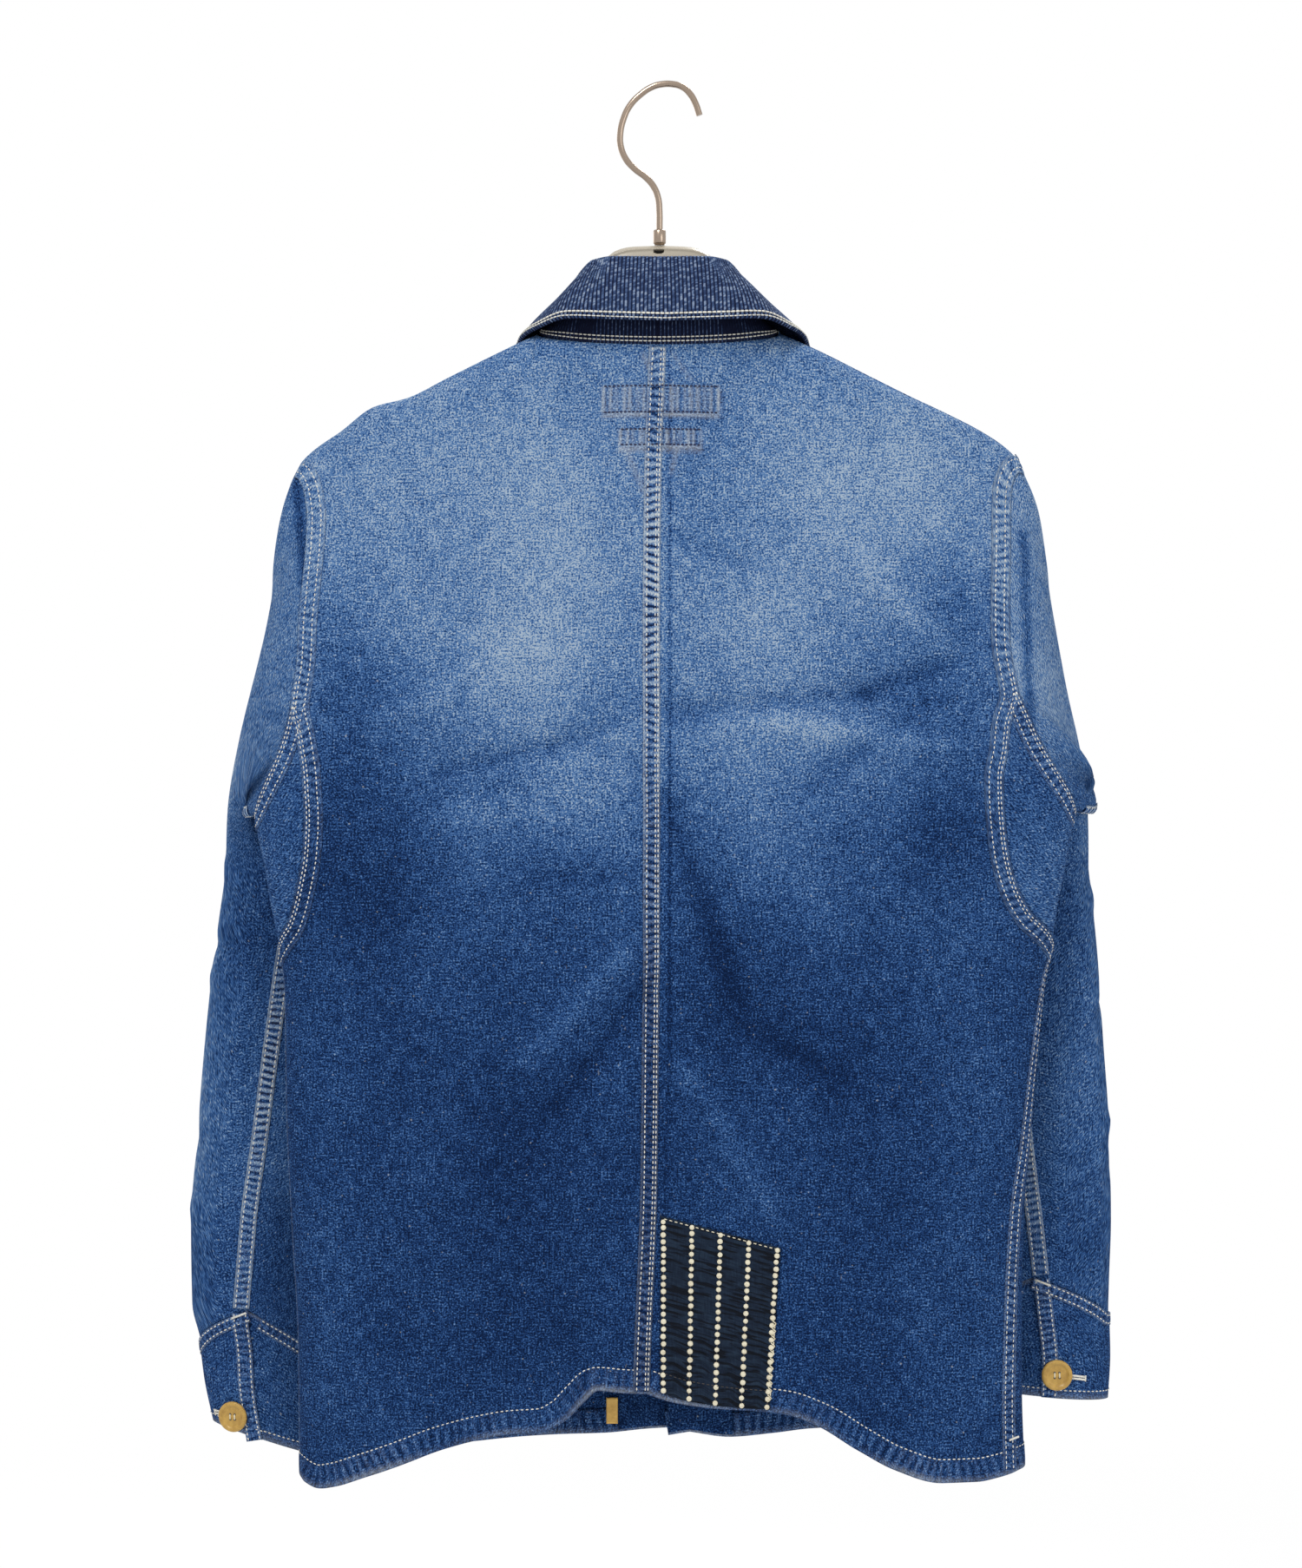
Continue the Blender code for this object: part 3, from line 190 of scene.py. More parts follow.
Ring = namedtuple("Ring", "drop outer outer_y half_width half_depth yaw tilt")
SLEEVES = {
    "left": [
        Ring(0.505, 0.2825, 0.032, 0.076, 0.024, 20.0, 0.00),
        Ring(0.560, 0.2905, 0.034, 0.073, 0.025, 19.0, 0.00),
        Ring(0.620, 0.2970, 0.035, 0.070, 0.025, 18.0, 0.00),
        Ring(0.680, 0.3020, 0.036, 0.066, 0.026, 16.0, 0.00),
        Ring(0.740, 0.3063, 0.037, 0.061, 0.026, 14.0, 0.01),
        Ring(0.790, 0.3055, 0.037, 0.054, 0.026, 12.0, 0.05),
        Ring(0.814, 0.3000, 0.037, 0.050, 0.026, 11.0, 0.08),
        Ring(0.840, 0.2965, 0.037, 0.048, 0.026, 10.0, 0.20),
        Ring(0.866, 0.2910, 0.037, 0.047, 0.026, 10.0, 0.33),
    ],
    "right": [
        Ring(0.505, 0.2798, 0.032, 0.074, 0.024, 20.0, 0.00),
        Ring(0.560, 0.2858, 0.034, 0.072, 0.025, 19.0, 0.00),
        Ring(0.620, 0.2900, 0.035, 0.069, 0.025, 18.0, 0.00),
        Ring(0.680, 0.2942, 0.036, 0.065, 0.026, 16.0, 0.00),
        Ring(0.735, 0.2953, 0.037, 0.059, 0.026, 14.0, 0.00),
        Ring(0.775, 0.2940, 0.037, 0.053, 0.026, 12.0, 0.00),
        Ring(0.797, 0.2935, 0.037, 0.050, 0.026, 11.0, 0.00),
        Ring(0.823, 0.2940, 0.037, 0.048, 0.026, 10.0, -0.03),
        Ring(0.851, 0.2925, 0.037, 0.047, 0.026, 10.0, -0.08),
    ],
}
SEAM_ANGLE = {"left": 68.0, "right": 82.0}      # the underarm seam, round from the outer edge
CUFF_SEAM = {"left": 0.8157, "right": 0.7958}
CUFF_END = {"left": 0.866, "right": 0.851}
UPPER_RING = 0.505
CUFF_PEAK = 0.0255           # the cuff's seam rises to a point at the opening
CUFF_PEAK_SPREAD = 70.0
CUFF_LOW = {"left": 0.0105, "right": 0.0}        # and drops lower again, inwards of it
CUFF_LOW_ANGLE = 75.0
ARMHOLE_PART = 0.66          # of each half of the armhole, what lies above the gusset

# Which way, and how strongly, the sleeve leaves the armhole: outwards on the left and on the
# right, forwards and down. turn runs from 0 at the shoulder down the back edge to 0.5 at the
# armpit, and up the front edge to 1.
Leave = namedtuple("Leave", "turn left right forward down")
LEAVES = [
    Leave(0.00, 0.120, 0.120, 0.05, 0.20), Leave(0.05, 0.170, 0.170, 0.00, 0.20),
    Leave(0.10, 0.170, 0.170, 0.00, 0.20), Leave(0.20, 0.155, 0.155, 0.00, 0.16),
    Leave(0.31, 0.130, 0.160, 0.00, 0.13), Leave(0.40, 0.100, 0.230, 0.00, 0.10),
    Leave(0.45, 0.115, 0.200, 0.16, 0.06), Leave(0.50, 0.110, 0.160, 0.19, 0.02),
    Leave(0.56, 0.085, 0.140, 0.19, 0.02), Leave(0.65, 0.060, 0.060, 0.16, 0.05),
    Leave(0.81, 0.060, 0.060, 0.13, 0.12), Leave(0.90, 0.070, 0.070, 0.10, 0.15),
    Leave(0.95, 0.090, 0.090, 0.08, 0.20), Leave(1.00, 0.120, 0.120, 0.05, 0.20),
]
HANG_PULL = 0.16             # how straight the sleeve already hangs at its upper ring

CUFF_LAP = 26.0              # degrees by which the cuff laps over itself
CUFF_LAP_LIFT = 0.0012       # its upper layer stands out by this, and its lower one lies in

CollarLine = namedtuple("CollarLine", "angle fold_out fold_y fold_drop edge_out edge_y edge_drop")
COLLAR = [
    CollarLine(0.0, 0.0000, -0.024, 0.1140, 0.000, -0.044, 0.1560),
    CollarLine(35.0, 0.0300, -0.022, 0.1135, 0.045, -0.043, 0.1545),
    CollarLine(52.0, 0.0405, -0.016, 0.1145, 0.064, -0.036, 0.1535),
    CollarLine(72.0, 0.0530, -0.004, 0.1270, 0.080, -0.021, 0.1575),
    CollarLine(90.0, 0.0630, 0.010, 0.1405, 0.091, -0.001, 0.1615),
    CollarLine(100.0, 0.0650, 0.016, 0.1495, 0.096, 0.016, 0.1700),
    CollarLine(110.0, 0.0640, 0.022, 0.1600, 0.099, 0.028, 0.1840),
    CollarLine(135.0, 0.0540, 0.032, 0.1870, 0.097, 0.036, 0.2120),
    CollarLine(160.0, 0.0270, 0.039, 0.2130, 0.080, 0.040, 0.2440),
    CollarLine(177.0, 0.0080, 0.043, 0.2220, 0.048, 0.046, 0.2700),
]
COLLAR_LEAN = 0.0035         # the fall has slipped this far to the wearer's right
COLLAR_FOLD = 0.0035         # radius of the fold
COLLAR_SIDE_RAISE = 0.0010
COLLAR_SIDE_INSET = 0.0018   # at the shoulders it stands inside the seam
COLLAR_END = 177.0
STAND_PART = 0.45            # the stand ends and the fold starts here
FALL_PART = 0.55             # the fold ends and the fall starts here

RIDGE_SLOPE = (RIDGE[1].left - RIDGE[0].left) / (RIDGE[1].out - RIDGE[0].out)
ROLL_DROP = 0.018            # the cloth has rolled over the shoulders' ridge within this
FILL_DROP = 0.12             # how soon below the ridge the body comes to its full depth
NECK_FILL_DROP = 0.10        # and how soon below the neck
NECK_EASE = 0.08             # within this below the neck its line gives way to the body's form
NECK_EVEN = 0.06             # and its curve evens out within this
FOLD_START = 0.03            # the folds have their full height from here down

# ---------------------------------------------------------------- finer folds, the dye and painted shade
BACK_CREASES = [
    Fold(0.011, 0.404, 0.132, 0.393, 0.0060, -0.0024),
    Fold(0.132, 0.393, 0.187, 0.373, 0.0060, -0.0027),
    Fold(0.132, 0.310, 0.193, 0.376, 0.0090, 0.0021),
    Fold(0.077, 0.409, 0.187, 0.426, 0.0070, 0.0021),
    Fold(-0.138, 0.442, -0.066, 0.426, 0.0060, -0.0024),
    Fold(-0.066, 0.426, -0.039, 0.417, 0.0050, -0.0018),
    Fold(-0.039, 0.420, -0.011, 0.420, 0.0050, 0.0015),
    Fold(-0.176, 0.409, -0.138, 0.393, 0.0080, 0.0018),
    Fold(-0.143, 0.459, -0.094, 0.450, 0.0060, -0.0018),
    Fold(-0.077, 0.508, -0.022, 0.508, 0.0060, -0.0015),
    Fold(0.0055, 0.464, 0.050, 0.585, 0.0080, -0.0024),
    Fold(-0.022, 0.558, -0.083, 0.624, 0.0080, 0.0021),
    Fold(-0.011, 0.580, -0.066, 0.657, 0.0070, -0.0021),
    Fold(0.050, 0.602, 0.110, 0.635, 0.0070, -0.0021),
    Fold(0.016, 0.630, 0.072, 0.718, 0.0080, 0.0021),
    Fold(0.011, 0.293, 0.055, 0.310, 0.0060, -0.0018),
    Fold(0.176, 0.393, 0.094, 0.453, 0.0070, -0.0021),
]
FRONT_CREASES = [
    Fold(-0.187, 0.373, -0.132, 0.393, 0.0060, -0.0016),
    Fold(-0.132, 0.393, -0.030, 0.410, 0.0060, -0.0014),
    Fold(-0.193, 0.376, -0.132, 0.310, 0.0090, 0.0014),
    Fold(0.138, 0.442, 0.060, 0.424, 0.0060, -0.0016),
    Fold(0.176, 0.409, 0.138, 0.393, 0.0080, 0.0012),
    Fold(0.180, 0.395, 0.094, 0.450, 0.0070, -0.0013),
    Fold(-0.180, 0.430, -0.100, 0.470, 0.0070, 0.0012),
    Fold(-0.120, 0.590, -0.050, 0.640, 0.0070, -0.0014),
    Fold(0.120, 0.560, 0.050, 0.660, 0.0080, 0.0014),
    Fold(0.150, 0.680, 0.070, 0.710, 0.0070, -0.0012),
    Fold(-0.160, 0.700, -0.080, 0.740, 0.0070, 0.0012),
]
SLEEVE_CREASES = {           # x is how far round from its seam, negative towards the outer edge
    "left": [
        Fold(-0.120, 0.480, -0.020, 0.520, 0.0060, 0.0014),
        Fold(-0.110, 0.545, -0.030, 0.560, 0.0060, -0.0016),
        Fold(-0.040, 0.500, -0.015, 0.600, 0.0070, 0.0014),
        Fold(-0.110, 0.590, -0.060, 0.575, 0.0060, 0.0012),
        Fold(0.020, 0.520, 0.110, 0.500, 0.0070, -0.0014),
        Fold(0.030, 0.600, 0.120, 0.640, 0.0070, 0.0013),
        Fold(-0.100, 0.640, -0.040, 0.700, 0.0080, -0.0012),
        Fold(-0.080, 0.720, -0.020, 0.740, 0.0060, 0.0010),
        Fold(0.040, 0.700, 0.100, 0.680, 0.0070, -0.0012),
    ],
    "right": [
        Fold(-0.120, 0.500, -0.040, 0.540, 0.0060, 0.0014),
        Fold(-0.110, 0.560, -0.060, 0.600, 0.0060, -0.0014),
        Fold(-0.060, 0.590, -0.020, 0.640, 0.0070, 0.0012),
        Fold(0.030, 0.520, 0.110, 0.500, 0.0070, -0.0014),
        Fold(0.030, 0.600, 0.120, 0.650, 0.0070, 0.0013),
        Fold(-0.070, 0.670, -0.025, 0.690, 0.0050, 0.0014),
        Fold(-0.070, 0.700, -0.030, 0.715, 0.0050, -0.0012),
        Fold(-0.090, 0.640, -0.050, 0.740, 0.0070, -0.0010),
    ],
}

# How pale the dye has worn: 0 is the darkest indigo and 1 is bare cotton.
Fade = namedtuple("Fade", "drop back front sleeve")
FADES = [
    Fade(0.160, 0.64, 0.60, 0.54), Fade(0.250, 0.70, 0.60, 0.60), Fade(0.310, 0.69, 0.58, 0.60),
    Fade(0.370, 0.63, 0.54, 0.56), Fade(0.430, 0.52, 0.47, 0.50), Fade(0.480, 0.37, 0.35, 0.36),
    Fade(0.530, 0.24, 0.26, 0.30), Fade(0.600, 0.15, 0.18, 0.35), Fade(0.660, 0.13, 0.17, 0.41),
    Fade(0.720, 0.13, 0.16, 0.39), Fade(0.760, 0.13, 0.16, 0.33), Fade(0.800, 0.13, 0.16, 0.37),
    Fade(0.900, 0.15, 0.16, 0.33),
]
FOLDS = {"back": BACK_FOLDS, "front": FRONT_FOLDS}
CREASES = {"back": BACK_CREASES, "front": FRONT_CREASES}
FOLD_WEAR_AND_SHADE = 8.0              # a metre of fold or crease changes the fade by this: the ridges are worn paler, and the troughs are darker with painted shade
CREASE_WEAR_AND_SHADE = 62.0
RIDGE_PAINTED_SHADOW = 0.40           # beside a worn ridge, this far away, a painted shadow darkens the cloth
RIDGE_SHADOW_X = 0.0016
RIDGE_SHADOW_DROP = 0.0008
BACK_FADES = [
    Fold(-0.090, 0.235, -0.075, 0.345, 0.045, 0.09),
    Fold(0.105, 0.262, 0.150, 0.290, 0.035, 0.10),
    Fold(0.030, 0.250, 0.035, 0.320, 0.022, -0.07),
    Fold(-0.205, 0.350, -0.215, 0.500, 0.032, -0.20),
    Fold(0.190, 0.350, 0.190, 0.470, 0.040, -0.22),
    Fold(-0.090, 0.370, -0.055, 0.455, 0.038, 0.17),
    Fold(0.065, 0.340, 0.070, 0.455, 0.034, 0.10),
    Fold(-0.170, 0.390, -0.175, 0.520, 0.034, -0.17),
    Fold(-0.095, 0.660, -0.090, 0.790, 0.034, -0.09),
    Fold(0.035, 0.560, 0.030, 0.640, 0.020, -0.08),
    Fold(0.065, 0.600, 0.110, 0.640, 0.022, -0.07),
    Fold(0.030, 0.660, 0.060, 0.810, 0.030, 0.05),
    Fold(0.205, 0.560, 0.205, 0.840, 0.034, 0.07),
    Fold(0.065, 0.500, 0.105, 0.530, 0.024, 0.07),
    Fold(-0.205, 0.600, -0.215, 0.840, 0.020, 0.05),
    Fold(-0.060, 0.300, -0.030, 0.330, 0.014, 0.06),
    Fold(0.040, 0.405, 0.110, 0.420, 0.010, 0.08),
    Fold(-0.120, 0.470, -0.070, 0.468, 0.010, 0.06),
    Fold(-0.185, 0.350, -0.160, 0.356, 0.022, 0.07),
    Fold(-0.140, 0.440, -0.125, 0.452, 0.022, 0.08),
    Fold(-0.041, 0.395, -0.041, 0.406, 0.020, -0.09),
    Fold(-0.045, 0.215, 0.030, 0.215, 0.028, -0.08),
    Fold(0.155, 0.215, 0.170, 0.262, 0.026, 0.08),
    Fold(0.150, 0.310, 0.180, 0.312, 0.022, -0.08),
]
SEAM_PAINTED_SHADOWS = [              # painted shadows just beside the centre-back seam's strip
    Fold(0.0064, 0.180, 0.0064, 0.620, 0.0011, -0.30),
    Fold(0.0064, 0.620, -0.0010, 0.860, 0.0011, -0.16),
    Fold(-0.0072, 0.200, -0.0072, 0.500, 0.0011, -0.14),
]
SLEEVE_FADES = {             # x as in the sleeves' creases
    "left": [
        Fold(-0.073, 0.450, -0.068, 0.710, 0.022, 0.42),
        Fold(-0.020, 0.500, -0.020, 0.560, 0.030, -0.08),
        Fold(0.020, 0.740, 0.030, 0.800, 0.030, -0.14),
    ],
    "right": [
        Fold(-0.150, 0.250, 0.150, 0.300, 0.120, 0.14),
        Fold(-0.062, 0.370, -0.064, 0.580, 0.022, 0.16),
        Fold(-0.030, 0.700, -0.040, 0.740, 0.030, -0.10),
    ],
}
SLEEVE_PAINTED_SHADOWS = {            # beside the armhole, behind, painted shadow lines darken the sleeve
    "left": [Fold(-0.234, 0.245, -0.226, 0.325, 0.0034, -0.45)],
    "right": [Fold(0.233, 0.290, 0.237, 0.420, 0.0034, -0.36)],
}

LabelRows = namedtuple("LabelRows", "left right top foot")
LABELS = [                   # the stitch rows inside the neck, as x and drop
    LabelRows(-0.0356, 0.0370, 0.1958, 0.2124),
    LabelRows(-0.0250, 0.0260, 0.2234, 0.2333),
]
PUCKER_PITCH = 0.0042


def label_puckers():
    """Plain upright puckers at an even pitch between the stitch rows, and a rubbed line below."""
    puckers = []
    for label in LABELS:
        width = label.right - label.left
        count = round(width / PUCKER_PITCH)
        for k in range(count + 1):
            x = label.left + width * k / count + 0.0004 * math.sin(2.7 * k)
            height = 0.42 + 0.16 * math.sin(1.9 * k + 1.0)
            inset = 0.0008 * (1.0 + math.sin(3.1 * k))
            puckers.append(Fold(x, label.top + inset, x, label.foot - inset, 0.0010, height))
        drop = label.foot + 0.0020
        puckers.append(Fold(label.left, drop, label.right, drop, 0.0012, 0.50))
    return puckers


# Where ridges of the back's cloth have worn to bare cotton.
BACK_WEAR = label_puckers() + [
    Fold(-0.0200, 0.2400, -0.0095, 0.2640, 0.0016, 0.28),
    Fold(0.0110, 0.2370, 0.0075, 0.2500, 0.0014, 0.28),
    Fold(-0.0105, 0.1760, -0.0065, 0.1850, 0.0012, 0.35),
    Fold(0.0085, 0.1760, 0.0200, 0.1920, 0.0012, 0.18),
]

def read(rows, column, at):
    """The column's values at places along the table's first column, with no overshoot."""
    places = np.array([row[0] for row in rows])
    values = np.array([getattr(row, column) for row in rows])
    steps = np.diff(places)
    rises = np.diff(values) / steps
    product = rises[:-1] * rises[1:]
    total = np.where(product > 0.0, rises[:-1] + rises[1:], 1.0)
    inner = np.where(product > 0.0, 2.0 * product / total, 0.0)
    slopes = np.concatenate([rises[:1], inner, rises[-1:]])
    at = np.clip(at, places[0], places[-1])
    i = np.clip(np.searchsorted(places, at, side="right") - 1, 0, len(steps) - 1)
    t = (at - places[i]) / steps[i]
    return curve(values[i], values[i + 1], slopes[i] * steps[i], slopes[i + 1] * steps[i], t)


def curve(start, end, leave, arrive, t):
    """A smooth way from start to end, which leaves and arrives as told, at shares t of it."""
    return (
        start * (1 + 2 * t) * (1 - t) ** 2 + leave * t * (1 - t) ** 2
        + end * t * t * (3 - 2 * t) - arrive * t * t * (1 - t)
    )


def strokes(rows, x, drop):
    """The sum of soft strokes at a place: folds in the cloth, or fades in its dye."""
    total = np.zeros(np.broadcast(x, drop).shape)
    for row in rows:
        way_x, way_drop = row.to_x - row.x, row.to_drop - row.drop
        length = way_x ** 2 + way_drop ** 2
        t = np.clip(((x - row.x) * way_x + (drop - row.drop) * way_drop) / length, 0.0, 1.0)
        aside = (x - row.x - t * way_x) ** 2 + (drop - row.drop - t * way_drop) ** 2
        total += row.height * np.exp(-aside / row.width ** 2)
    return total


def smooth(t):
    """0 below 0, 1 above 1, and a soft step between."""
    t = np.clip(t, 0.0, 1.0)
    return t * t * (3.0 - 2.0 * t)


def torso(side, around, side_drop, lift=0.0):
    """Places on the jacket's body: around is 0 centre back, 1 the side and 2 centre front."""
    around, side_drop = np.broadcast_arrays(np.asarray(around, float), side_drop)
    behind = around <= 1.0
    share = np.sin(0.5 * np.pi * np.where(behind, around, 2.0 - around))
    down = (side_drop - SHOULDER_DROP) / (SIDE_HEM_DROP - SHOULDER_DROP)
    wide = read(SIDES[side], "half_width", side_drop)
    out = np.abs(share) * SHOULDER_OUT
    dip = np.where(behind, NECK_BACK_DIP, NECK_FRONT_DIP)
    neck_top = NECK_DROP + dip * np.sqrt(np.maximum(0.0, 1.0 - (out / NECK_OUT) ** 2))
    top = np.where(out > NECK_OUT, read(RIDGE, side, out), neck_top)
    hems = [read(rows, side, np.abs(share) * wide) for rows in (BACK_HEM, FRONT_HEM)]
    drop = top + (np.where(behind, *hems) - top) * down
    middle = np.where(behind, read(MIDDLES, "back", drop), read(MIDDLES, "front", drop))
    x = SIGN[side] * wide * share + middle * (1.0 - share * share)

    below = np.maximum(drop - top, 0.0)
    round_neck = 1.0 - np.minimum(out / NECK_OUT, 1.0) ** 2
    rising = 0.5 * RIDGE_SLOPE * NECK_OUT
    soft_top = NECK_DROP + round_neck * ((dip + rising) * round_neck - rising)
    below += smooth(below / NECK_EASE) * np.where(out > NECK_OUT, 0.0, top - soft_top)
    even_out = smooth(below / NECK_EVEN)
    behind_neck = NECK_BACK * round_neck ** (0.5 + 1.5 * even_out)
    before_neck = NECK_FRONT * round_neck ** (0.25 + 1.75 * even_out)
    neck_depth = np.where(behind, behind_neck, before_neck)
    roll = np.sqrt(1.0 - (1.0 - np.minimum(below / ROLL_DROP, 1.0)) ** 2)
    rise = 0.5 * roll + 0.5 * (1.0 - np.exp(-below / FILL_DROP))
    within = smooth(1.6 * (1.0 - out / NECK_OUT))
    rise += ((1.0 - np.exp(-below / NECK_FILL_DROP)) - rise) * within
    hang = np.where(behind, read(DEPTHS, "back", drop), read(DEPTHS, "front", drop))
    full = hang * np.cbrt(np.maximum(1.0 - np.abs(share) ** 3, 0.0))
    depth = neck_depth + (full - neck_depth) * rise
    folds = np.where(behind, *(strokes(FOLDS[face] + CREASES[face], x, drop) for face in OUTWARD))
    depth += folds * (1.0 - share ** 6) * np.minimum(below / FOLD_START, 1.0) + lift
    return np.stack([CENTRE_X + x, np.where(behind, -depth, depth), -drop], -1)


def front(side, around, side_drop):
    """Places on a front. The left one lies over the right one, and they draw level further out."""
    t = np.minimum(np.abs(2.0 - around) / OVERLAP_LEVEL, 1.0)
    lift = -SIGN[side] * OVERLAP_LIFT * (1.0 - t) ** 2 * (1.0 + 2.0 * t)
    return torso(side, around, side_drop, lift)


def gusset(side, reach, across):
    """Places on a gusset: reach runs from -1 at its back end to 1 at its front end, and
    across from 0 on the sleeve's seam to 1 on the body's."""
    reach = np.asarray(reach, float)
    side_drop = GUSSET_FOOT_DROP - (GUSSET_FOOT_DROP - JUNCTION_DROP) * np.abs(reach)
    edges = [read(SIDES[side], face + "_edge", side_drop) for face in OUTWARD]
    foot_around = read(FEET[side], "around", reach)
    foot_drop = read(FEET[side], "drop", reach)
    around = foot_around + (np.where(reach < 0.0, *edges) - foot_around) * across
    return torso(side, around, foot_drop + (side_drop - foot_drop) * across)


def tube(side, angle, drop, out=0.0):
    """Places on the hanging sleeve or cuff. out moves them off the tube's surface."""
    rings = SLEEVES[side]
    yaw = np.radians(read(rings, "yaw", drop))
    turn = np.radians(angle)
    inward = (read(rings, "half_width", drop) + out) * (1.0 - np.cos(turn)) - out
    behind = (read(rings, "half_depth", drop) + out) * np.sin(turn)
    from_outer = np.cos(yaw) * inward + np.sin(yaw) * behind
    x = CENTRE_X + SIGN[side] * read(rings, "outer", drop) - SIGN[side] * from_outer
    y = read(rings, "outer_y", drop) + np.sin(yaw) * inward - np.cos(yaw) * behind
    z = -drop - read(rings, "tilt", drop) * inward
    return np.stack(np.broadcast_arrays(x, y, z), -1)


def armhole(side, turn):
    """Places on the armhole, from the shoulder round the back and up the front."""
    behind = turn <= 0.5
    part = np.where(behind, 2.0 * turn, 2.0 - 2.0 * turn)
    drop = SHOULDER_DROP + (JUNCTION_DROP - SHOULDER_DROP) * np.minimum(part / ARMHOLE_PART, 1.0)
    edges = [read(SIDES[side], face + "_edge", drop) for face in OUTWARD]
    upper = torso(side, np.where(behind, *edges), drop)
    reach = 1.0 - np.maximum(part - ARMHOLE_PART, 0.0) / (1.0 - ARMHOLE_PART)
    lower = gusset(side, np.where(behind, -reach, reach), 0.0)
    return np.where((part <= ARMHOLE_PART)[..., None], upper, lower)


def seam_drop(side, angle):
    """Where the cuff's seam lies: it rises to a point at the opening."""
    inward = (angle - SEAM_ANGLE[side] + 180.0) % 360.0 - 180.0
    rise = CUFF_PEAK * np.maximum(0.0, 1.0 - np.abs(inward) / CUFF_PEAK_SPREAD)
    low = np.maximum(0.0, 1.0 - np.abs(inward / CUFF_LOW_ANGLE - 1.0))
    return CUFF_SEAM[side] - rise + CUFF_LOW[side] * low


def seam_angle(side, turn):
    """The angle round the hanging sleeve of a turn round the armhole."""
    return SEAM_ANGLE[side] + 360.0 * (np.asarray(turn) - 0.5)


def sleeve_line(side, turn, length):
    """Places on the smooth sleeve: length is 0 at the armhole, 1 at the upper ring, 2 at the
    cuff, and turn runs as on the armhole."""
    turn, length = np.broadcast_arrays(np.asarray(turn, float), np.asarray(length, float))
    angle = seam_angle(side, turn)
    low = np.maximum(length - 1.0, 0.0)
    hanging = tube(side, angle, UPPER_RING + (seam_drop(side, angle) - UPPER_RING) * low)
    start, end = armhole(side, turn), tube(side, angle, UPPER_RING)
    outwards, forwards, down = (read(LEAVES, column, turn) for column in (side, "forward", "down"))
    leave = np.stack([SIGN[side] * outwards, forwards, -down], -1)
    arrive = np.array([0.0, 0.0, -HANG_PULL])
    leaving = curve(start, end, leave, arrive, np.minimum(length, 1.0)[..., None])
    return np.where((length >= 1.0)[..., None], hanging, leaving)


def neck_around(angle):
    """How far round the body from its centre a place on the neck is, by its angle there."""
    return np.degrees(np.arcsin(NECK_SHARE * np.sin(np.radians(angle)))) / 90.0


def neck_seam(side, angle):
    """Places on the neck seam, by the angle round the neck from the centre back."""
    around = neck_around(angle)
    places = torso(side, np.where(angle <= 90.0, around, 2.0 - around), SHOULDER_DROP)
    sideways = np.sin(np.radians(angle))
    places[..., 0] -= SIGN[side] * COLLAR_SIDE_INSET * sideways ** 2
    places[..., 2] += COLLAR_SIDE_RAISE * sideways ** 2
    return places


def collar_half(side, angle, part):
    """Places on a half of the collar: part runs from 0 at the neck seam, over the fold, to 1
    at the edge of its fall."""
    angle, part = np.broadcast_arrays(np.asarray(angle, float), np.asarray(part, float))
    sign = SIGN[side]
    turn = np.radians(angle)
    row = {column: read(COLLAR, column, angle) for column in CollarLine._fields[1:]}
    fold_x = CENTRE_X + sign * row["fold_out"]
    edge_x = CENTRE_X + COLLAR_LEAN * np.cos(0.5 * turn) + sign * row["edge_out"]
    fold = np.stack([fold_x, row["fold_y"], -row["fold_drop"] - COLLAR_FOLD], -1)
    edge = np.stack([edge_x, row["edge_y"], -row["edge_drop"]], -1)
    outward = np.stack([sign * np.sin(turn), -np.cos(turn), np.zeros(turn.shape)], -1)
    bend = np.pi * np.clip((part - STAND_PART) / (FALL_PART - STAND_PART), 0.0, 1.0)[..., None]
    up = np.array([0.0, 0.0, COLLAR_FOLD])
    over = fold - outward * COLLAR_FOLD * np.cos(bend) + up * np.sin(bend)
    t = (part / STAND_PART)[..., None]
    stand = neck_seam(side, angle) * (1.0 - t) + (fold - outward * COLLAR_FOLD) * t
    t = ((part - FALL_PART) / (1.0 - FALL_PART))[..., None]
    wave = 0.003 * np.sin(np.pi * t) + 0.0008 * smooth(t) * (np.cos(4.5 * turn) - 1.0)[..., None]
    fall = (fold + outward * COLLAR_FOLD) * (1.0 - t) + edge * t + outward * wave
    low, high = (part <= STAND_PART)[..., None], (part >= FALL_PART)[..., None]
    return np.where(low, stand, np.where(high, fall, over))


CLOSURE_EDGE = neck_around(-OVERLAP_ANGLE)       # a front's free edge, past the closure line


# ---------------------------------------------------------------- surfaces, meshes and threads
LONGEST_MOVE = 0.008         # of a point, in each round of its way to its place beside a path


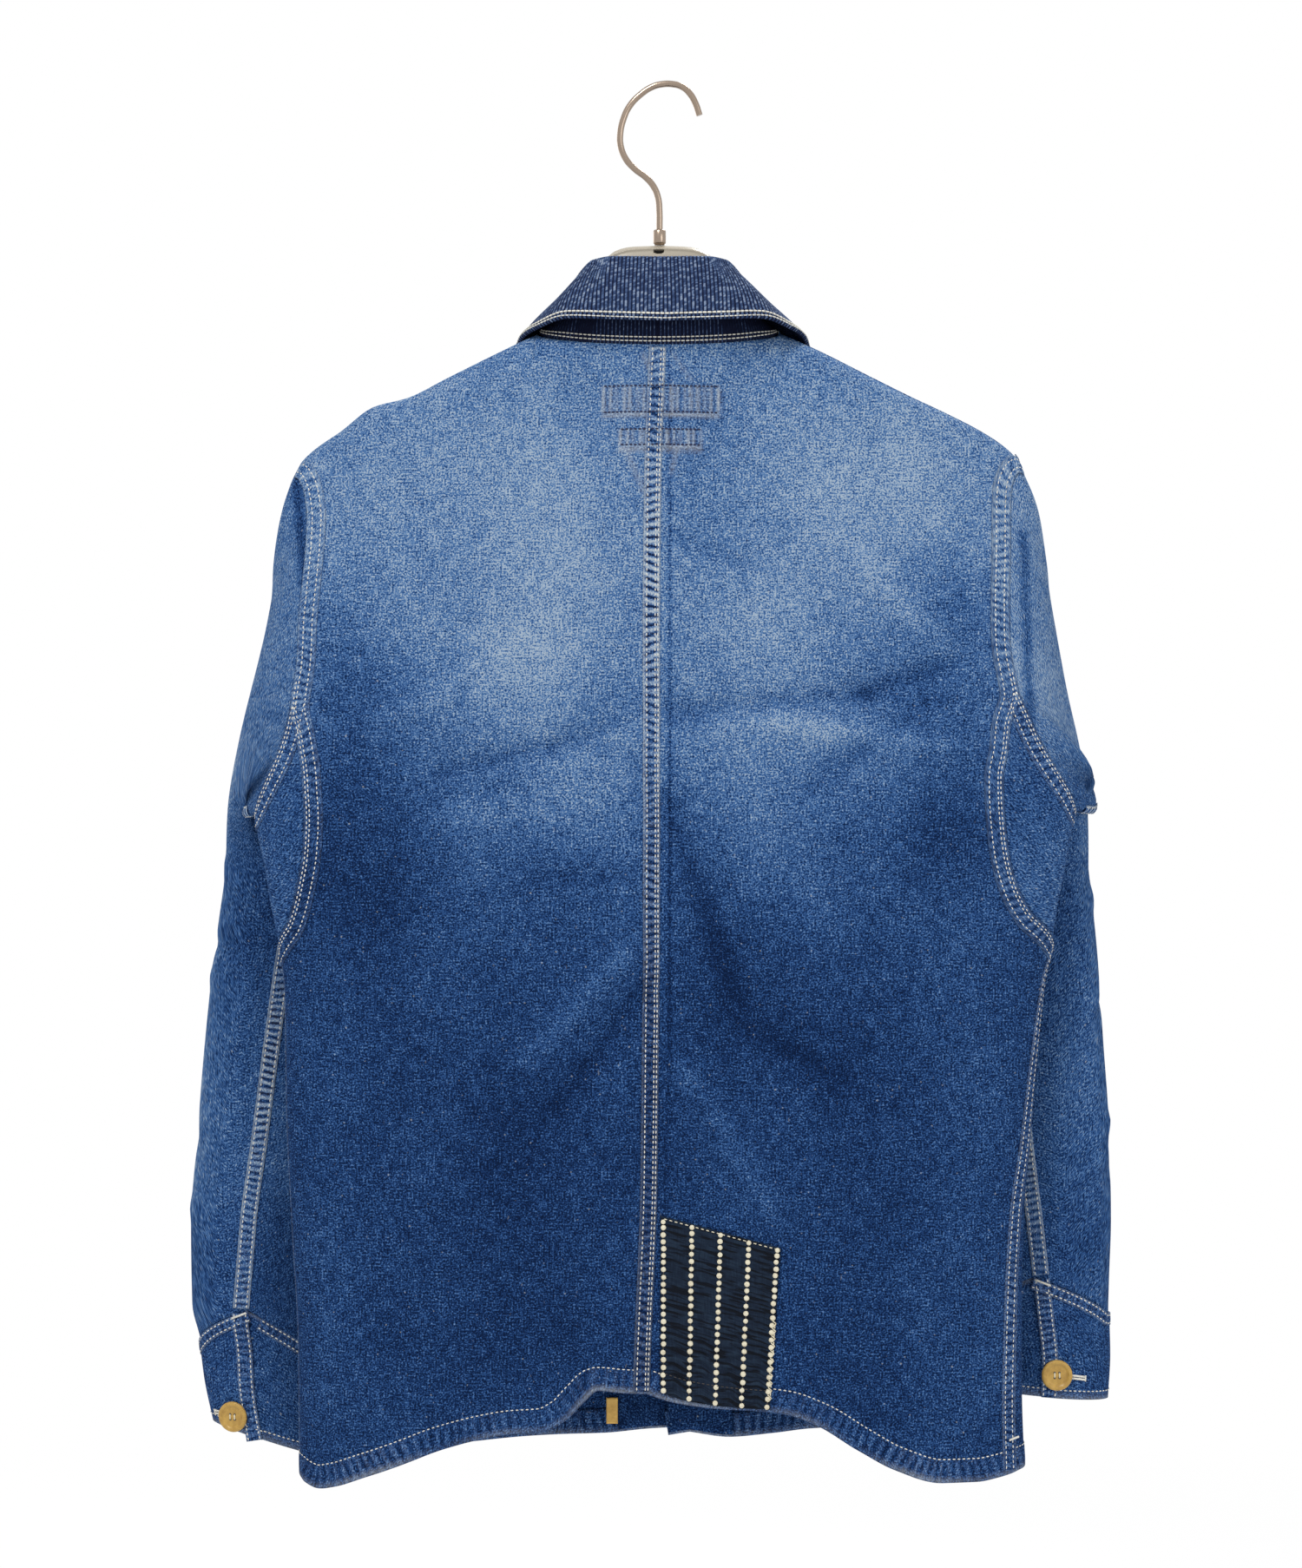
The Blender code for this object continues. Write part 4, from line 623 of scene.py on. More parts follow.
class Surface:
    """A parametric form: place(u, v) gives its points, and sign says which side is outside.

    Below first and beyond last, in v, it goes straight on.
    """

    def __init__(self, place, sign, step_u, step_v, first, last):
        self.form, self.sign, self.step_u, self.step_v = place, sign, step_u, step_v
        self.first, self.last = first + step_v, last - step_v

    def frame(self, u, v):
        """The points, how they move with u and with v, and the outward normals."""
        du, dv = self.step_u, self.step_v
        inside = np.clip(v, self.first, self.last)
        by_u = (self.form(u + du, inside) - self.form(u - du, inside)) / (2.0 * du)
        by_v = (self.form(u, inside + dv) - self.form(u, inside - dv)) / (2.0 * dv)
        points = self.form(u, inside) + by_v * np.asarray(v - inside)[..., None]
        return points, by_u, by_v, unit(np.cross(by_u, by_v)) * self.sign

    def lifted(self, u, v, lift):
        """Places off the surface, and the normals there."""
        points, _, _, normals = self.frame(u, v)
        return points + normals * np.broadcast_to(lift, np.shape(u))[..., None], normals

    def beside(self, u, v, distance=0.0, lift=0.0):
        """Points on the surface at a distance to one side of the path u, v, and lifted off it,
        and the normals there. The path runs down the first axis."""
        u, v, distance, lift = np.broadcast_arrays(u, v, distance, lift)
        points, by_u, by_v, normals = self.frame(u, v)
        along = unit(np.gradient(points, axis=0))
        target = points + np.cross(normals, along) * distance[..., None]
        for _ in range(4):
            way = target - points
            uu, uv, vv = (np.sum(a * b, -1) for a, b in ((by_u, by_u), (by_u, by_v), (by_v, by_v)))
            wu, wv = np.sum(way * by_u, -1), np.sum(way * by_v, -1)
            spread = np.maximum(uu * vv - uv * uv, 1e-12)
            reach_u, reach_v = LONGEST_MOVE / np.sqrt(uu), LONGEST_MOVE / np.sqrt(vv)
            u = u + np.clip((wu * vv - wv * uv) / spread, -reach_u, reach_u)
            v = v + np.clip((wv * uu - wu * uv) / spread, -reach_v, reach_v)
            points, by_u, by_v, normals = self.frame(u, v)
        return points + normals * lift[..., None], normals


def unit(vectors):
    """The vectors at a length of one."""
    return vectors / np.maximum(np.linalg.norm(vectors, axis=-1, keepdims=True), 1e-12)


def even(first, last, step):
    """Values from first to last, a whole number of equal steps of about this size apart."""
    return np.linspace(first, last, max(round(abs(last - first) / step), 1) + 1)


def run_along(points):
    """How far along a path each of its points is."""
    return np.concatenate([[0.0], np.cumsum(np.linalg.norm(np.diff(points, axis=0), axis=1))])


def read_path(at, run, values):
    """A path's points or normals at distances along it."""
    return np.stack([np.interp(at, run, values[:, k]) for k in range(3)], -1)


def resample(points, normals, pitch):
    """Places at an even pitch along a path, with the directions along it and its normals."""
    run = run_along(points)
    count = max(int(run[-1] / pitch), 1)
    at = (np.arange(count) + 0.5) * run[-1] / count
    up = unit(read_path(at, run, normals))
    along = unit(read_path(at + 0.001, run, points) - read_path(at - 0.001, run, points))
    up = unit(up - along * np.sum(up * along, -1, keepdims=True))
    return read_path(at, run, points), along, up


def add_object(name, mesh, material, replaces=()):
    """A piece of the scene, riding on the one body and the solids it replaces."""
    piece = bpy.data.objects.new(name, mesh)
    bpy.context.scene.collection.objects.link(piece)
    mesh.materials.append(material)
    mesh.shade_smooth()
    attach(piece, "root")
    if replaces:
        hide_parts(*replaces)
    return piece


def grid_mesh(name, points, layers=None, joined=False, hanging=False):
    """A mesh of a grid of points, with the cloth's own measures as its UV map.

    layers holds values for each point, by name, for the materials. joined closes it round, from
    its last column to its first. hanging says that the cloth's warp runs straight down.
    """
    rows, columns = points.shape[:2]
    flat = points[..., :2] if hanging else points
    across = np.linalg.norm(np.diff(flat, axis=1), axis=2)
    down = np.linalg.norm(np.diff(points, axis=0), axis=2)
    u = np.concatenate([np.zeros((rows, 1)), np.cumsum(across, axis=1)], axis=1)
    v = np.concatenate([np.zeros((1, columns)), np.cumsum(down, axis=0)], axis=0)
    if hanging:
        v = -points[..., 2]
    u, v = u + CHANCE.uniform(1.0, 9.0), v + CHANCE.uniform(1.0, 9.0)
    index = np.arange(rows * columns).reshape(rows, columns)
    if joined:
        index = np.concatenate([index, index[:, :1]], axis=1)
        round_off = np.linalg.norm(flat[:, :1] - flat[:, -1:], axis=2)
        u = np.concatenate([u, u[:, -1:] + round_off], axis=1)
        v = np.concatenate([v, v[:, :1]], axis=1)

    def corners(values):
        return np.stack([values[:-1, :-1], values[:-1, 1:], values[1:, 1:], values[1:, :-1]], 2)

    mesh = bpy.data.meshes.new(name)
    mesh.from_pydata(points.reshape(-1, 3).tolist(), [], corners(index).reshape(-1, 4).tolist())
    cloth = mesh.uv_layers.new(name="cloth")
    cloth.uv.foreach_set("vector", corners(np.stack([u, v], -1)).reshape(-1))
    for layer, values in (layers or {}).items():
        attribute = mesh.attributes.new(layer, "FLOAT", "POINT")
        spread = np.broadcast_to(values, (rows, columns)).astype(np.float32)
        attribute.data.foreach_set("value", spread.reshape(-1))
    return mesh


def add_cloth(name, points, slot, material, wall, layers=None, sewn_on=False, **grid):
    """A piece of cloth with a wall. It replaces the solid of its own name unless it is sewn on."""
    mesh = grid_mesh(name, points, layers, **grid)
    piece = add_object(name, mesh, material, () if sewn_on else [name])
    modifier = piece.modifiers.new("wall", "SOLIDIFY")
    modifier.thickness = wall
    modifier.offset = 0.0
    return piece


def circle(sides):
    """The corners of a circle with a radius of one."""
    turn = 2.0 * np.pi * np.arange(sides) / sides
    return np.stack([np.cos(turn), np.sin(turn)], -1)


# A small form of which a thread has many: its corners, and its faces of three or four of them.
Form = namedtuple("Form", "corners faces")


def bead():
    """A rounded bar, one unit long, wide and high: a stitch or a knot of thread."""
    sides = 5
    corners = [(-0.5, 0.0, 0.0)]
    corners += [(end, a, b) for end in (-0.28, 0.28) for a, b in 0.5 * circle(sides)]
    corners += [(0.5, 0.0, 0.0)]
    faces = []
    for k in range(sides):
        low, low_after = 1 + k, 1 + (k + 1) % sides
        high, high_after, tip = low + sides, low_after + sides, 1 + 2 * sides
        faces += [(0, low_after, low, low), (low, low_after, high_after, high)]
        faces += [(high, high_after, tip, tip)]
    return Form(np.array(corners), np.array(faces))


def dot():
    """A round dome with a radius and a height of one unit, lying on the cloth."""
    sides = 10
    rings = ((0.86, -0.25), (1.0, 0.25), (0.72, 0.80))
    corners = [(r * a, r * b, height) for r, height in rings for a, b in circle(sides)]
    top, foot = len(corners), len(corners) + 1
    corners += [(0.0, 0.0, 1.0), (0.0, 0.0, -0.25)]
    faces = []
    for k in range(sides):
        low, low_after = k, (k + 1) % sides
        for _ in rings[1:]:
            faces.append((low, low_after, low_after + sides, low + sides))
            low, low_after = low + sides, low_after + sides
        faces += [(low, low_after, top, top), ((k + 1) % sides, k, foot, foot)]
    return Form(np.array(corners), np.array(faces))


BEAD, DOT = bead(), dot()


class Thread:
    """Collects the stitches of one thread, to make them one piece."""

    def __init__(self):
        self.points, self.faces, self.count = [], [], 0

    def add(self, form, places, along, up, length, width, height):
        """The form at each place, so long along it, so wide beside it and so high."""
        sizes = [np.broadcast_to(size, len(places))[:, None, None] for size in (length, width, height)]
        points = places[:, None]
        for k, way in enumerate((along, np.cross(up, along), up)):
            points = points + way[:, None] * form.corners[None, :, k:k + 1] * sizes[k]
        starts = self.count + len(form.corners) * np.arange(len(places))
        self.points.append(points.reshape(-1, 3))
        self.faces.append((form.faces[None] + starts[:, None, None]).reshape(-1, 4))
        self.count += len(places) * len(form.corners)

    def row(self, points, normals, pitch=0.0026, length=0.0021, width=0.0008, height=0.0006):
        """A row of needle stitches along a path."""
        self.add(BEAD, *resample(points, normals, pitch), length, width, height)

    def make(self, name, slot, material):
        points = np.concatenate(self.points).tolist()
        faces = np.concatenate(self.faces).tolist()
        mesh = bpy.data.meshes.new(name)
        mesh.from_pydata(points, [], [face[:3] if face[2] == face[3] else face for face in faces])
        return add_object(name, mesh, material)


# ---------------------------------------------------------------- materials
def add_node(tree, kind, inputs=None, **settings):
    """A new node with its settings. Each input is a value, or the output that feeds it."""
    node = tree.nodes.new("ShaderNode" + kind)
    for setting, value in settings.items():
        setattr(node, setting, value)
    for key, value in (inputs or {}).items():
        put(tree, node.inputs[key], value)
    return node


def put(tree, socket, value):
    """Gives an input a value, or the output that feeds it."""
    if isinstance(value, bpy.types.NodeSocket):
        tree.links.new(value, socket)
    else:
        socket.default_value = value


class Shading:
    """One material's nodes."""

    def __init__(self, name, roughness, specular=0.5, metallic=0.0):
        self.material = bpy.data.materials.new(name)
        self.material.use_nodes = True
        self.tree = self.material.node_tree
        self.shader = self.tree.nodes["Principled BSDF"]
        self.shader.inputs["Roughness"].default_value = roughness
        self.shader.inputs["Specular IOR Level"].default_value = specular
        self.shader.inputs["Metallic"].default_value = metallic

    def node(self, kind, inputs=None, **settings):
        return add_node(self.tree, kind, inputs, **settings)

    def cloth(self):
        """The cloth's own measures, in metres across and down."""
        return self.node("UVMap", uv_map="cloth").outputs["UV"]

    def place(self):
        return self.node("TexCoord").outputs["Object"]

    def layer(self, name):
        return self.node("Attribute", attribute_name=name).outputs["Fac"]

    def noise(self, vector, scale, detail=2.0, roughness=0.5):
        """Noise with its own scale, in features a metre, along each direction."""
        scaled = self.node("Mapping", {"Vector": vector, "Scale": scale}).outputs["Vector"]
        inputs = {"Vector": scaled, "Scale": 1.0, "Detail": detail, "Roughness": roughness}
        return self.node("TexNoise", inputs).outputs["Fac"]

    def sum(self, first, *terms):
        """first + the terms, each an output and the factor that it is multiplied by."""
        for output, factor in terms:
            node = self.node("Math", {0: output, 1: factor, 2: first}, operation="MULTIPLY_ADD")
            first = node.outputs[0]
        return first

    def centred(self, value):
        """A value from 0 to 1, moved to lie round 0."""
        return self.sum(value, (1.0, -0.5))

    def times(self, first, second):
        return self.node("Math", {0: first, 1: second}, operation="MULTIPLY").outputs[0]

    def step(self, value, low, high):
        """A soft step from 0 where the value is low to 1 where it is high."""
        inputs = {"Value": value, "From Min": low, "From Max": high}
        return self.node("MapRange", inputs, interpolation_type="SMOOTHSTEP").outputs["Result"]

    def ramp(self, value, stops):
        node = self.node("ValToRGB", {"Fac": value})
        points = node.color_ramp.elements
        while len(points) < len(stops):
            points.new(0.5)
        for point, (at, colour) in zip(points, stops):
            point.position = at
            point.color = (*colour, 1.0)
        return node.outputs["Color"]

    def mix(self, share, first, second):
        node = self.node("Mix", {0: share}, data_type="RGBA")
        colours = [socket for socket in node.inputs if socket.type == "RGBA"]
        for socket, value in zip(colours, (first, second)):
            put(self.tree, socket, (*value, 1.0) if isinstance(value, tuple) else value)
        return next(socket for socket in node.outputs if socket.type == "RGBA")

    def bump(self, height, distance):
        """Relief from a height of 0 to 1, so many metres deep."""
        node = self.node("Bump", {"Height": height, "Strength": 1.0, "Distance": distance})
        put(self.tree, self.shader.inputs["Normal"], node.outputs["Normal"])

    def colour(self, value):
        put(self.tree, self.shader.inputs["Base Color"], value)


# The indigo's shades, from the darkest, unworn, to bare white cotton.
INDIGO = [
    (0.00, (0.0020, 0.0095, 0.0400)),
    (0.18, (0.0050, 0.0220, 0.0820)),
    (0.34, (0.0105, 0.0400, 0.1380)),
    (0.55, (0.0350, 0.1040, 0.2820)),
    (0.71, (0.0800, 0.1800, 0.3850)),
    (0.85, (0.1600, 0.2700, 0.4500)),
    (1.00, (0.3600, 0.4500, 0.5600)),
]
RIBBED = [
    (0.00, (0.0030, 0.0060, 0.0260)),
    (0.30, (0.0120, 0.0280, 0.0880)),
    (0.60, (0.0700, 0.1200, 0.2450)),
    (1.00, (0.4600, 0.5300, 0.6300)),
]
PATCH_DYE = [
    (0.00, (0.0020, 0.0040, 0.0090)),
    (0.40, (0.0060, 0.0130, 0.0290)),
    (0.75, (0.0170, 0.0330, 0.0600)),
    (1.00, (0.0600, 0.0900, 0.1250)),
]
PALE_COTTON = (0.52, 0.55, 0.55)


def denim_material(name):
    """Faded indigo denim. Its layers are fade, the dye's shade with painted shade and shadows added in
    places, and wear, the bare cotton.
    """
    s = Shading(name, 0.92, specular=0.08)
    cloth, place = s.cloth(), s.place()
    warp = s.noise(cloth, (850.0, 110.0, 1.0), 2.0, 0.6)
    weft = s.noise(cloth, (110.0, 850.0, 1.0), 2.0, 0.6)
    grain = s.noise(cloth, (880.0, 880.0, 1.0), 1.0, 0.6)
    patches = s.noise(place, (20.0, 20.0, 14.0), 3.0, 0.6)
    mottle = s.noise(place, (130.0, 130.0, 110.0), 3.0, 0.6)
    shade = s.sum(
        0.18, (s.layer("fade"), 0.82), (s.centred(warp), 0.65), (s.centred(weft), 0.60),
        (s.centred(grain), 1.80), (s.centred(patches), 0.22), (s.centred(mottle), 0.34),
    )
    slub = s.step(s.noise(cloth, (420.0, 150.0, 1.0), 1.0), 0.74, 0.84)
    fleck = s.step(s.noise(cloth, (430.0, 430.0, 1.0), 0.0), 0.80, 0.88)
    bare = s.sum(0.0, (slub, 0.20), (fleck, 0.40))
    worn = s.times(s.layer("wear"), s.sum(0.35, (grain, 1.3)))
    flecked = s.mix(bare, s.ramp(shade, INDIGO), PALE_COTTON)
    s.colour(s.mix(worn, flecked, PALE_COTTON))
    s.bump(s.sum(grain, (warp, 0.5), (weft, 0.4), (mottle, 1.2)), 0.0006)
    return s.material


def ribbed_material():
    """Dark ribbed cloth, with pale flecks along each rib. Its layers are rib and wear."""
    s = Shading("ribbed_cloth", 0.9, specular=0.2)
    cloth = s.cloth()
    rib = s.layer("rib")
    flecks = s.noise(cloth, (380.0, 330.0, 1.0), 1.0)
    broad = s.noise(cloth, (60.0, 40.0, 1.0), 2.0)
    knit = s.noise(cloth, (1100.0, 900.0, 1.0), 1.0)
    shade = s.sum(
        -0.30, (rib, 0.80), (s.times(s.step(flecks, 0.42, 0.62), rib), 0.40),
        (s.centred(broad), 0.30), (s.centred(knit), 0.30),
    )
    worn = s.times(s.layer("wear"), knit)
    s.colour(s.mix(worn, s.ramp(shade, RIBBED), PALE_COTTON))
    s.bump(s.sum(knit, (flecks, 0.6)), 0.0003)
    return s.material


def patch_material():
    """Dark navy cloth, nearly charcoal, with folds worn paler and thin dark lines of painted shade
    along its creases. Its layer is fade: its puckers, paler on their ridges and darker with painted
    shade in their hollows.
    """
    s = Shading("dark_patch_cloth", 0.92, specular=0.2)
    cloth = s.cloth()
    warp = s.noise(cloth, (900.0, 120.0, 1.0), 2.0)
    weft = s.noise(cloth, (120.0, 900.0, 1.0), 2.0)
    broad = s.noise(cloth, (70.0, 70.0, 1.0), 3.0)
    folds = s.noise(cloth, (50.0, 430.0, 1.0), 2.0)
    # creases is 0 on thin dark lines: painted shade along the patch's creases
    creases = s.step(folds, 0.36, 0.50)
    shade = s.sum(
        -0.75, (warp, 0.50), (weft, 0.50), (broad, 0.35), (creases, 0.55), (s.layer("fade"), 0.12),
    )
    s.colour(s.ramp(shade, PATCH_DYE))
    s.bump(s.sum(folds, (creases, 1.0), (warp, 0.25), (weft, 0.25)), 0.0009)
    return s.material


def thread_material(name, colour, dark):
    """Spun thread, a little grubby in places."""
    s = Shading(name, 0.75)
    place = s.place()
    grime = s.noise(place, (900.0, 900.0, 900.0), 2.0)
    broad = s.noise(place, (45.0, 45.0, 45.0), 2.0)
    s.colour(s.mix(s.step(s.sum(grime, (broad, 0.8)), 0.75, 1.30), colour, dark))
    return s.material


def button_material():
    """Tan moulded horn-like material, faintly clouded."""
    s = Shading("tan_button", 0.38)
    clouds = s.noise(s.place(), (260.0, 260.0, 120.0), 3.0, 0.6)
    s.colour(s.mix(s.step(clouds, 0.3, 0.75), (0.55, 0.340, 0.075), (0.40, 0.230, 0.045)))
    s.bump(clouds, 0.00006)
    return s.material


def leather_material():
    """Tan leather with a fine grain."""
    s = Shading("tan_leather", 0.6)
    place = s.place()
    grain = s.noise(place, (900.0, 900.0, 900.0), 3.0, 0.6)
    clouds = s.noise(place, (180.0, 180.0, 180.0), 2.0)
    share = s.step(s.sum(clouds, (grain, 0.4)), 0.45, 0.95)
    s.colour(s.mix(share, (0.92, 0.58, 0.15), (0.70, 0.40, 0.09)))
    s.bump(grain, 0.0002)
    return s.material


def shell_material():
    """Champagne-grey moulded plastic, with a faint satin grain. Its layer is slot, where painted shade
    makes the recess nearly black.
    """
    s = Shading("champagne_shell", 0.36)
    grain = s.noise(s.place(), (700.0, 700.0, 700.0), 2.0)
    shell = s.mix(grain, (0.40, 0.355, 0.275), (0.45, 0.40, 0.315))
    # the slot layer paints the recess behind the hanger's middle nearly black: painted shade
    s.colour(s.mix(s.layer("slot"), shell, (0.015, 0.013, 0.011)))
    s.bump(grain, 0.00003)
    return s.material


def metal_material():
    """Polished wire with a rose tint and fine drawn lines."""
    s = Shading("polished_metal", 0.24, metallic=1.0)
    lines = s.noise(s.place(), (1200.0, 1200.0, 120.0), 2.0)
    s.colour(s.mix(lines, (0.36, 0.285, 0.225), (0.30, 0.235, 0.185)))
    s.bump(lines, 0.00002)
    return s.material


# ---------------------------------------------------------------- the big cloth pieces
FINE = 0.0035      # the cloth's grid
LABEL_STEP = 0.0015    # finer where a label is sewn in
LABEL_OUT = 0.040
LABEL_FOOT = 0.312           # side drop of the end of those finer rows
SHOULDER_ROWS = 0.02         # how far down the rows stand closer, over the shoulder's bend
PANEL_REACH = 0.17           # from the neck to the side, about
GUSSET_LENGTH = 0.17
ARMHOLE_GIRTH = 0.31         # the columns of a sleeve are counted by this
UPPER_LENGTH = 0.27          # of a sleeve above its upper ring, and below it
LOWER_LENGTH = 0.30
SLEEVE_ROUND = 0.30          # the girth by which the tables place a sleeve's creases and fades
WEAR_HEIGHT = 0.0009
CLOTH = 0.0014
CUFF_CLOTH = 0.0018
CUFF_DEGREE = 0.00075        # metres of the cuff's girth to a degree, about
COLLAR_CLOTH = 0.0024
RIB_PITCH = 0.0025
RIB_COLUMNS = 4.0
RIB_DEPTH = 0.0004
COLLAR_MIDDLE = 0.85         # the part of the collar where its ribs are counted
RIBS_STRAIGHT = 60.0         # up to this angle the ribs hang straight, and past it less and less
RIBS_FOLLOW = 65.0           # after so many degrees more they follow the collar's form


def body_surface(side, face):
    """The back or the front of one side: u is how far from the centre, v the side drop."""
    def place(u, v):
        return torso(side, u, v) if face == "back" else front(side, 2.0 - u, v)

    return Surface(place, OUTWARD[face] * SIGN[side], 0.003, 0.001, SHOULDER_DROP, SIDE_HEM_DROP)


def find(side, face, x, drop):
    """Where on the body, from its centre and down, the point at this x and drop is."""
    x, drop = np.broadcast_arrays(np.asarray(x, float), np.asarray(drop, float))
    place = body_surface(side, face).form
    wide = read(SIDES[side], "half_width", drop)
    u = np.arcsin(np.clip(SIGN[side] * x / wide, -0.98, 0.98)) * 2.0 / np.pi
    v = drop.copy()
    for _ in range(7):
        points = place(u, v)
        slope = 0.5 * np.pi * wide * np.maximum(np.cos(0.5 * np.pi * u), 0.2)
        u = u + SIGN[side] * (x - (points[..., 0] - CENTRE_X)) / slope
        v = v + drop + points[..., 2]
    return u, v


def panel_reach(side, face, side_drop):
    """How far from its centre a panel's edge is, as u on its surface."""
    edge = read(SIDES[side], face + "_edge", side_drop)
    return edge if face == "back" else 2.0 - edge


def x_and_drop(points):
    """How far to the right of the jacket's centre line places are, and how far down."""
    return points[..., 0] - CENTRE_X, -points[..., 2]


def body_fade(face, points):
    """The dye's shade on the body, by place, with painted shade in the troughs of its folds and
    creases, and painted shadows beside the centre-back seam and beside worn ridges.
    """
    x, drop = x_and_drop(points)
    shade = read(FADES, face, drop)
    if face == "back":
        shade = shade + strokes(BACK_FADES, x, drop)
    # painted shade: the troughs of folds and creases are darker, and their ridges are worn paler
    shade = shade + FOLD_WEAR_AND_SHADE * strokes(FOLDS[face], x, drop)
    shade = shade + CREASE_WEAR_AND_SHADE * strokes(CREASES[face], x, drop)
    if face == "back":
        # painted shadows beside the worn ridges, and beside the centre-back seam
        ridge_shadows = strokes(BACK_WEAR, x - RIDGE_SHADOW_X, drop - RIDGE_SHADOW_DROP)
        shade += strokes(SEAM_PAINTED_SHADOWS, x, drop) - RIDGE_PAINTED_SHADOW * ridge_shadows
    return shade


def make_panel(side, face, material):
    """A back or front panel, from the centre to its own edge, and from the shoulder to the hem."""
    if face == "back":
        middle = np.degrees(np.arcsin(even(0.0, LABEL_OUT, LABEL_STEP) / NECK_OUT))
    else:
        middle = np.array([-OVERLAP_ANGLE, 0.0])
    rest = even(middle[-1], 90.0, math.degrees(FINE / NECK_OUT))
    inner = neck_around(np.concatenate([middle[:-1], rest]))
    shoulder = SHOULDER_DROP + SHOULDER_ROWS * np.linspace(0.0, 1.0, 10)[:-1] ** 1.6
    step = 1.1 * (LABEL_STEP if face == "back" else FINE)
    upper = even(SHOULDER_DROP + SHOULDER_ROWS, LABEL_FOOT, step)[:-1]
    drops = np.concatenate([shoulder, upper, even(LABEL_FOOT, SIDE_HEM_DROP, FINE)])[:, None]
    shares = np.linspace(0.0, 1.0, round(PANEL_REACH / FINE))[1:]
    outer = inner[-1] + (panel_reach(side, face, drops) - inner[-1]) * shares
    u = np.concatenate([np.broadcast_to(inner, (len(drops), len(inner))), outer], axis=1)
    points = body_surface(side, face).form(u, drops)
    wear = strokes(BACK_WEAR, *x_and_drop(points)) if face == "back" else 0.0
    layers = {"fade": body_fade(face, points), "wear": np.clip(wear, 0.0, 1.0)}
    points[..., 1] += OUTWARD[face] * WEAR_HEIGHT * wear
    return add_cloth(f"{face}_{side}", points, "denim", material, CLOTH, layers, hanging=True)


def make_gusset(side, material):
    """The pointed piece of cloth under an arm."""
    reach = even(-0.995, 0.995, FINE / GUSSET_LENGTH)
    points = gusset(side, reach, np.linspace(0.0, 1.0, 16)[:, None])
    layers = {"fade": 0.34 + 0.05 * np.cos(7.0 * reach), "wear": 0.0}
    return add_cloth(f"gusset_{side}", points, "denim", material, CLOTH, layers)


def sleeve(side, turn, length):
    """Places on the sleeve with its creases."""
    points = sleeve_line(side, turn, length)
    angle = seam_angle(side, turn)
    way = tube(side, angle, UPPER_RING, 1.0) - tube(side, angle, UPPER_RING)
    fading = smooth(np.asarray(length) / 0.15)[..., None]
    creases = strokes(SLEEVE_CREASES[side], SLEEVE_ROUND * (turn - 0.5), -points[..., 2])
    return points + way * creases[..., None] * fading


def sleeve_fade(side, turn, points):
    """The dye's shade on the sleeves, and a painted shadow line beside the back of the armhole."""
    x, drop = x_and_drop(points)
    shade = read(FADES, "sleeve", drop)
    shade = shade + strokes(SLEEVE_FADES[side], SLEEVE_ROUND * (turn - 0.5), drop)
    # a painted shadow beside the back of the armhole
    return shade + strokes(SLEEVE_PAINTED_SHADOWS[side], x, drop) * (turn < 0.5)


def sleeve_surface(side):
    return Surface(lambda u, v: sleeve(side, u, v), SIGN[side], 0.003, 0.01, 0.0, 2.0)


def make_sleeve(side, material):
    """A sleeve: one tube of cloth from the armhole to the cuff."""
    columns = round(ARMHOLE_GIRTH / FINE)
    turns = np.arange(columns) / columns
    upper = np.linspace(0.0, 1.0, round(UPPER_LENGTH / FINE))
    lower = np.linspace(1.0, 2.0, round(LOWER_LENGTH / FINE))
    points = sleeve(side, turns, np.concatenate([upper[:-1], lower])[:, None])
    layers = {"fade": sleeve_fade(side, turns, points), "wear": 0.0}
    return add_cloth(f"sleeve_{side}", points, "sleeve_denim", material, CLOTH, layers, joined=True)


def cuff(side, turned, part):
    """Places on a cuff: turned is how far round from the opening, in degrees."""
    angle = SEAM_ANGLE[side] - turned
    out = CUFF_LAP_LIFT * (1.0 - 2.0 * turned / (360.0 + CUFF_LAP))
    upper = seam_drop(side, angle)
    return tube(side, angle, upper + (CUFF_END[side] - upper) * part, out)


def cuff_surface(side):
    return Surface(lambda u, v: cuff(side, u, v), -SIGN[side], 1.0, 0.02, 0.0, 1.0)


def make_cuff(side, material):
    """A cuff, worn pale along its upper and lower edges."""
    turned = even(0.0, 360.0 + CUFF_LAP, FINE / CUFF_DEGREE)
    parts = np.linspace(0.0, 1.0, 22)[:, None]
    edge = np.maximum(smooth((parts - 0.93) / 0.07), smooth((0.05 - parts) / 0.05))
    layers = {"fade": 0.22 + 0.05 * np.cos(np.radians(turned)), "wear": 0.25 * edge}
    points = cuff(side, turned, parts)
    return add_cloth(f"cuff_{side}", points, "sleeve_denim", material, CUFF_CLOTH, layers)


def collar(angle, part):
    """Places on the collar: angle is negative on the left."""
    halves = [collar_half(side, np.abs(angle), part) for side in SIGN]
    return np.where((np.asarray(angle) + 0.0 * part < 0.0)[..., None], *halves)


COLLAR_SURFACE = Surface(collar, -1.0, 0.5, 0.01, 0.0, 1.0)


def rib_columns(places, parts, fine, middle, run):
    """The angles, at each part, of columns that follow the collar's straight ribs.

    Behind the neck they hang straight down. Towards the front they follow the collar's form.
    """
    way = np.gradient(middle[:, :2], run, axis=0)
    straight = 1.0 - smooth((np.abs(fine) - RIBS_STRAIGHT) / RIBS_FOLLOW)
    place = np.broadcast_to(places[None, :], (len(parts), len(places)))
    angles = np.interp(place, run, fine)
    for _ in range(6):
        shift = collar(angles, parts[:, None])[..., :2] - collar(angles, COLLAR_MIDDLE)[..., :2]
        aside = sum(shift[..., k] * np.interp(angles, fine, way[:, k]) for k in range(2))
        aside *= np.interp(angles, fine, straight)
        angles = np.interp(place - aside, run, fine)
    return angles


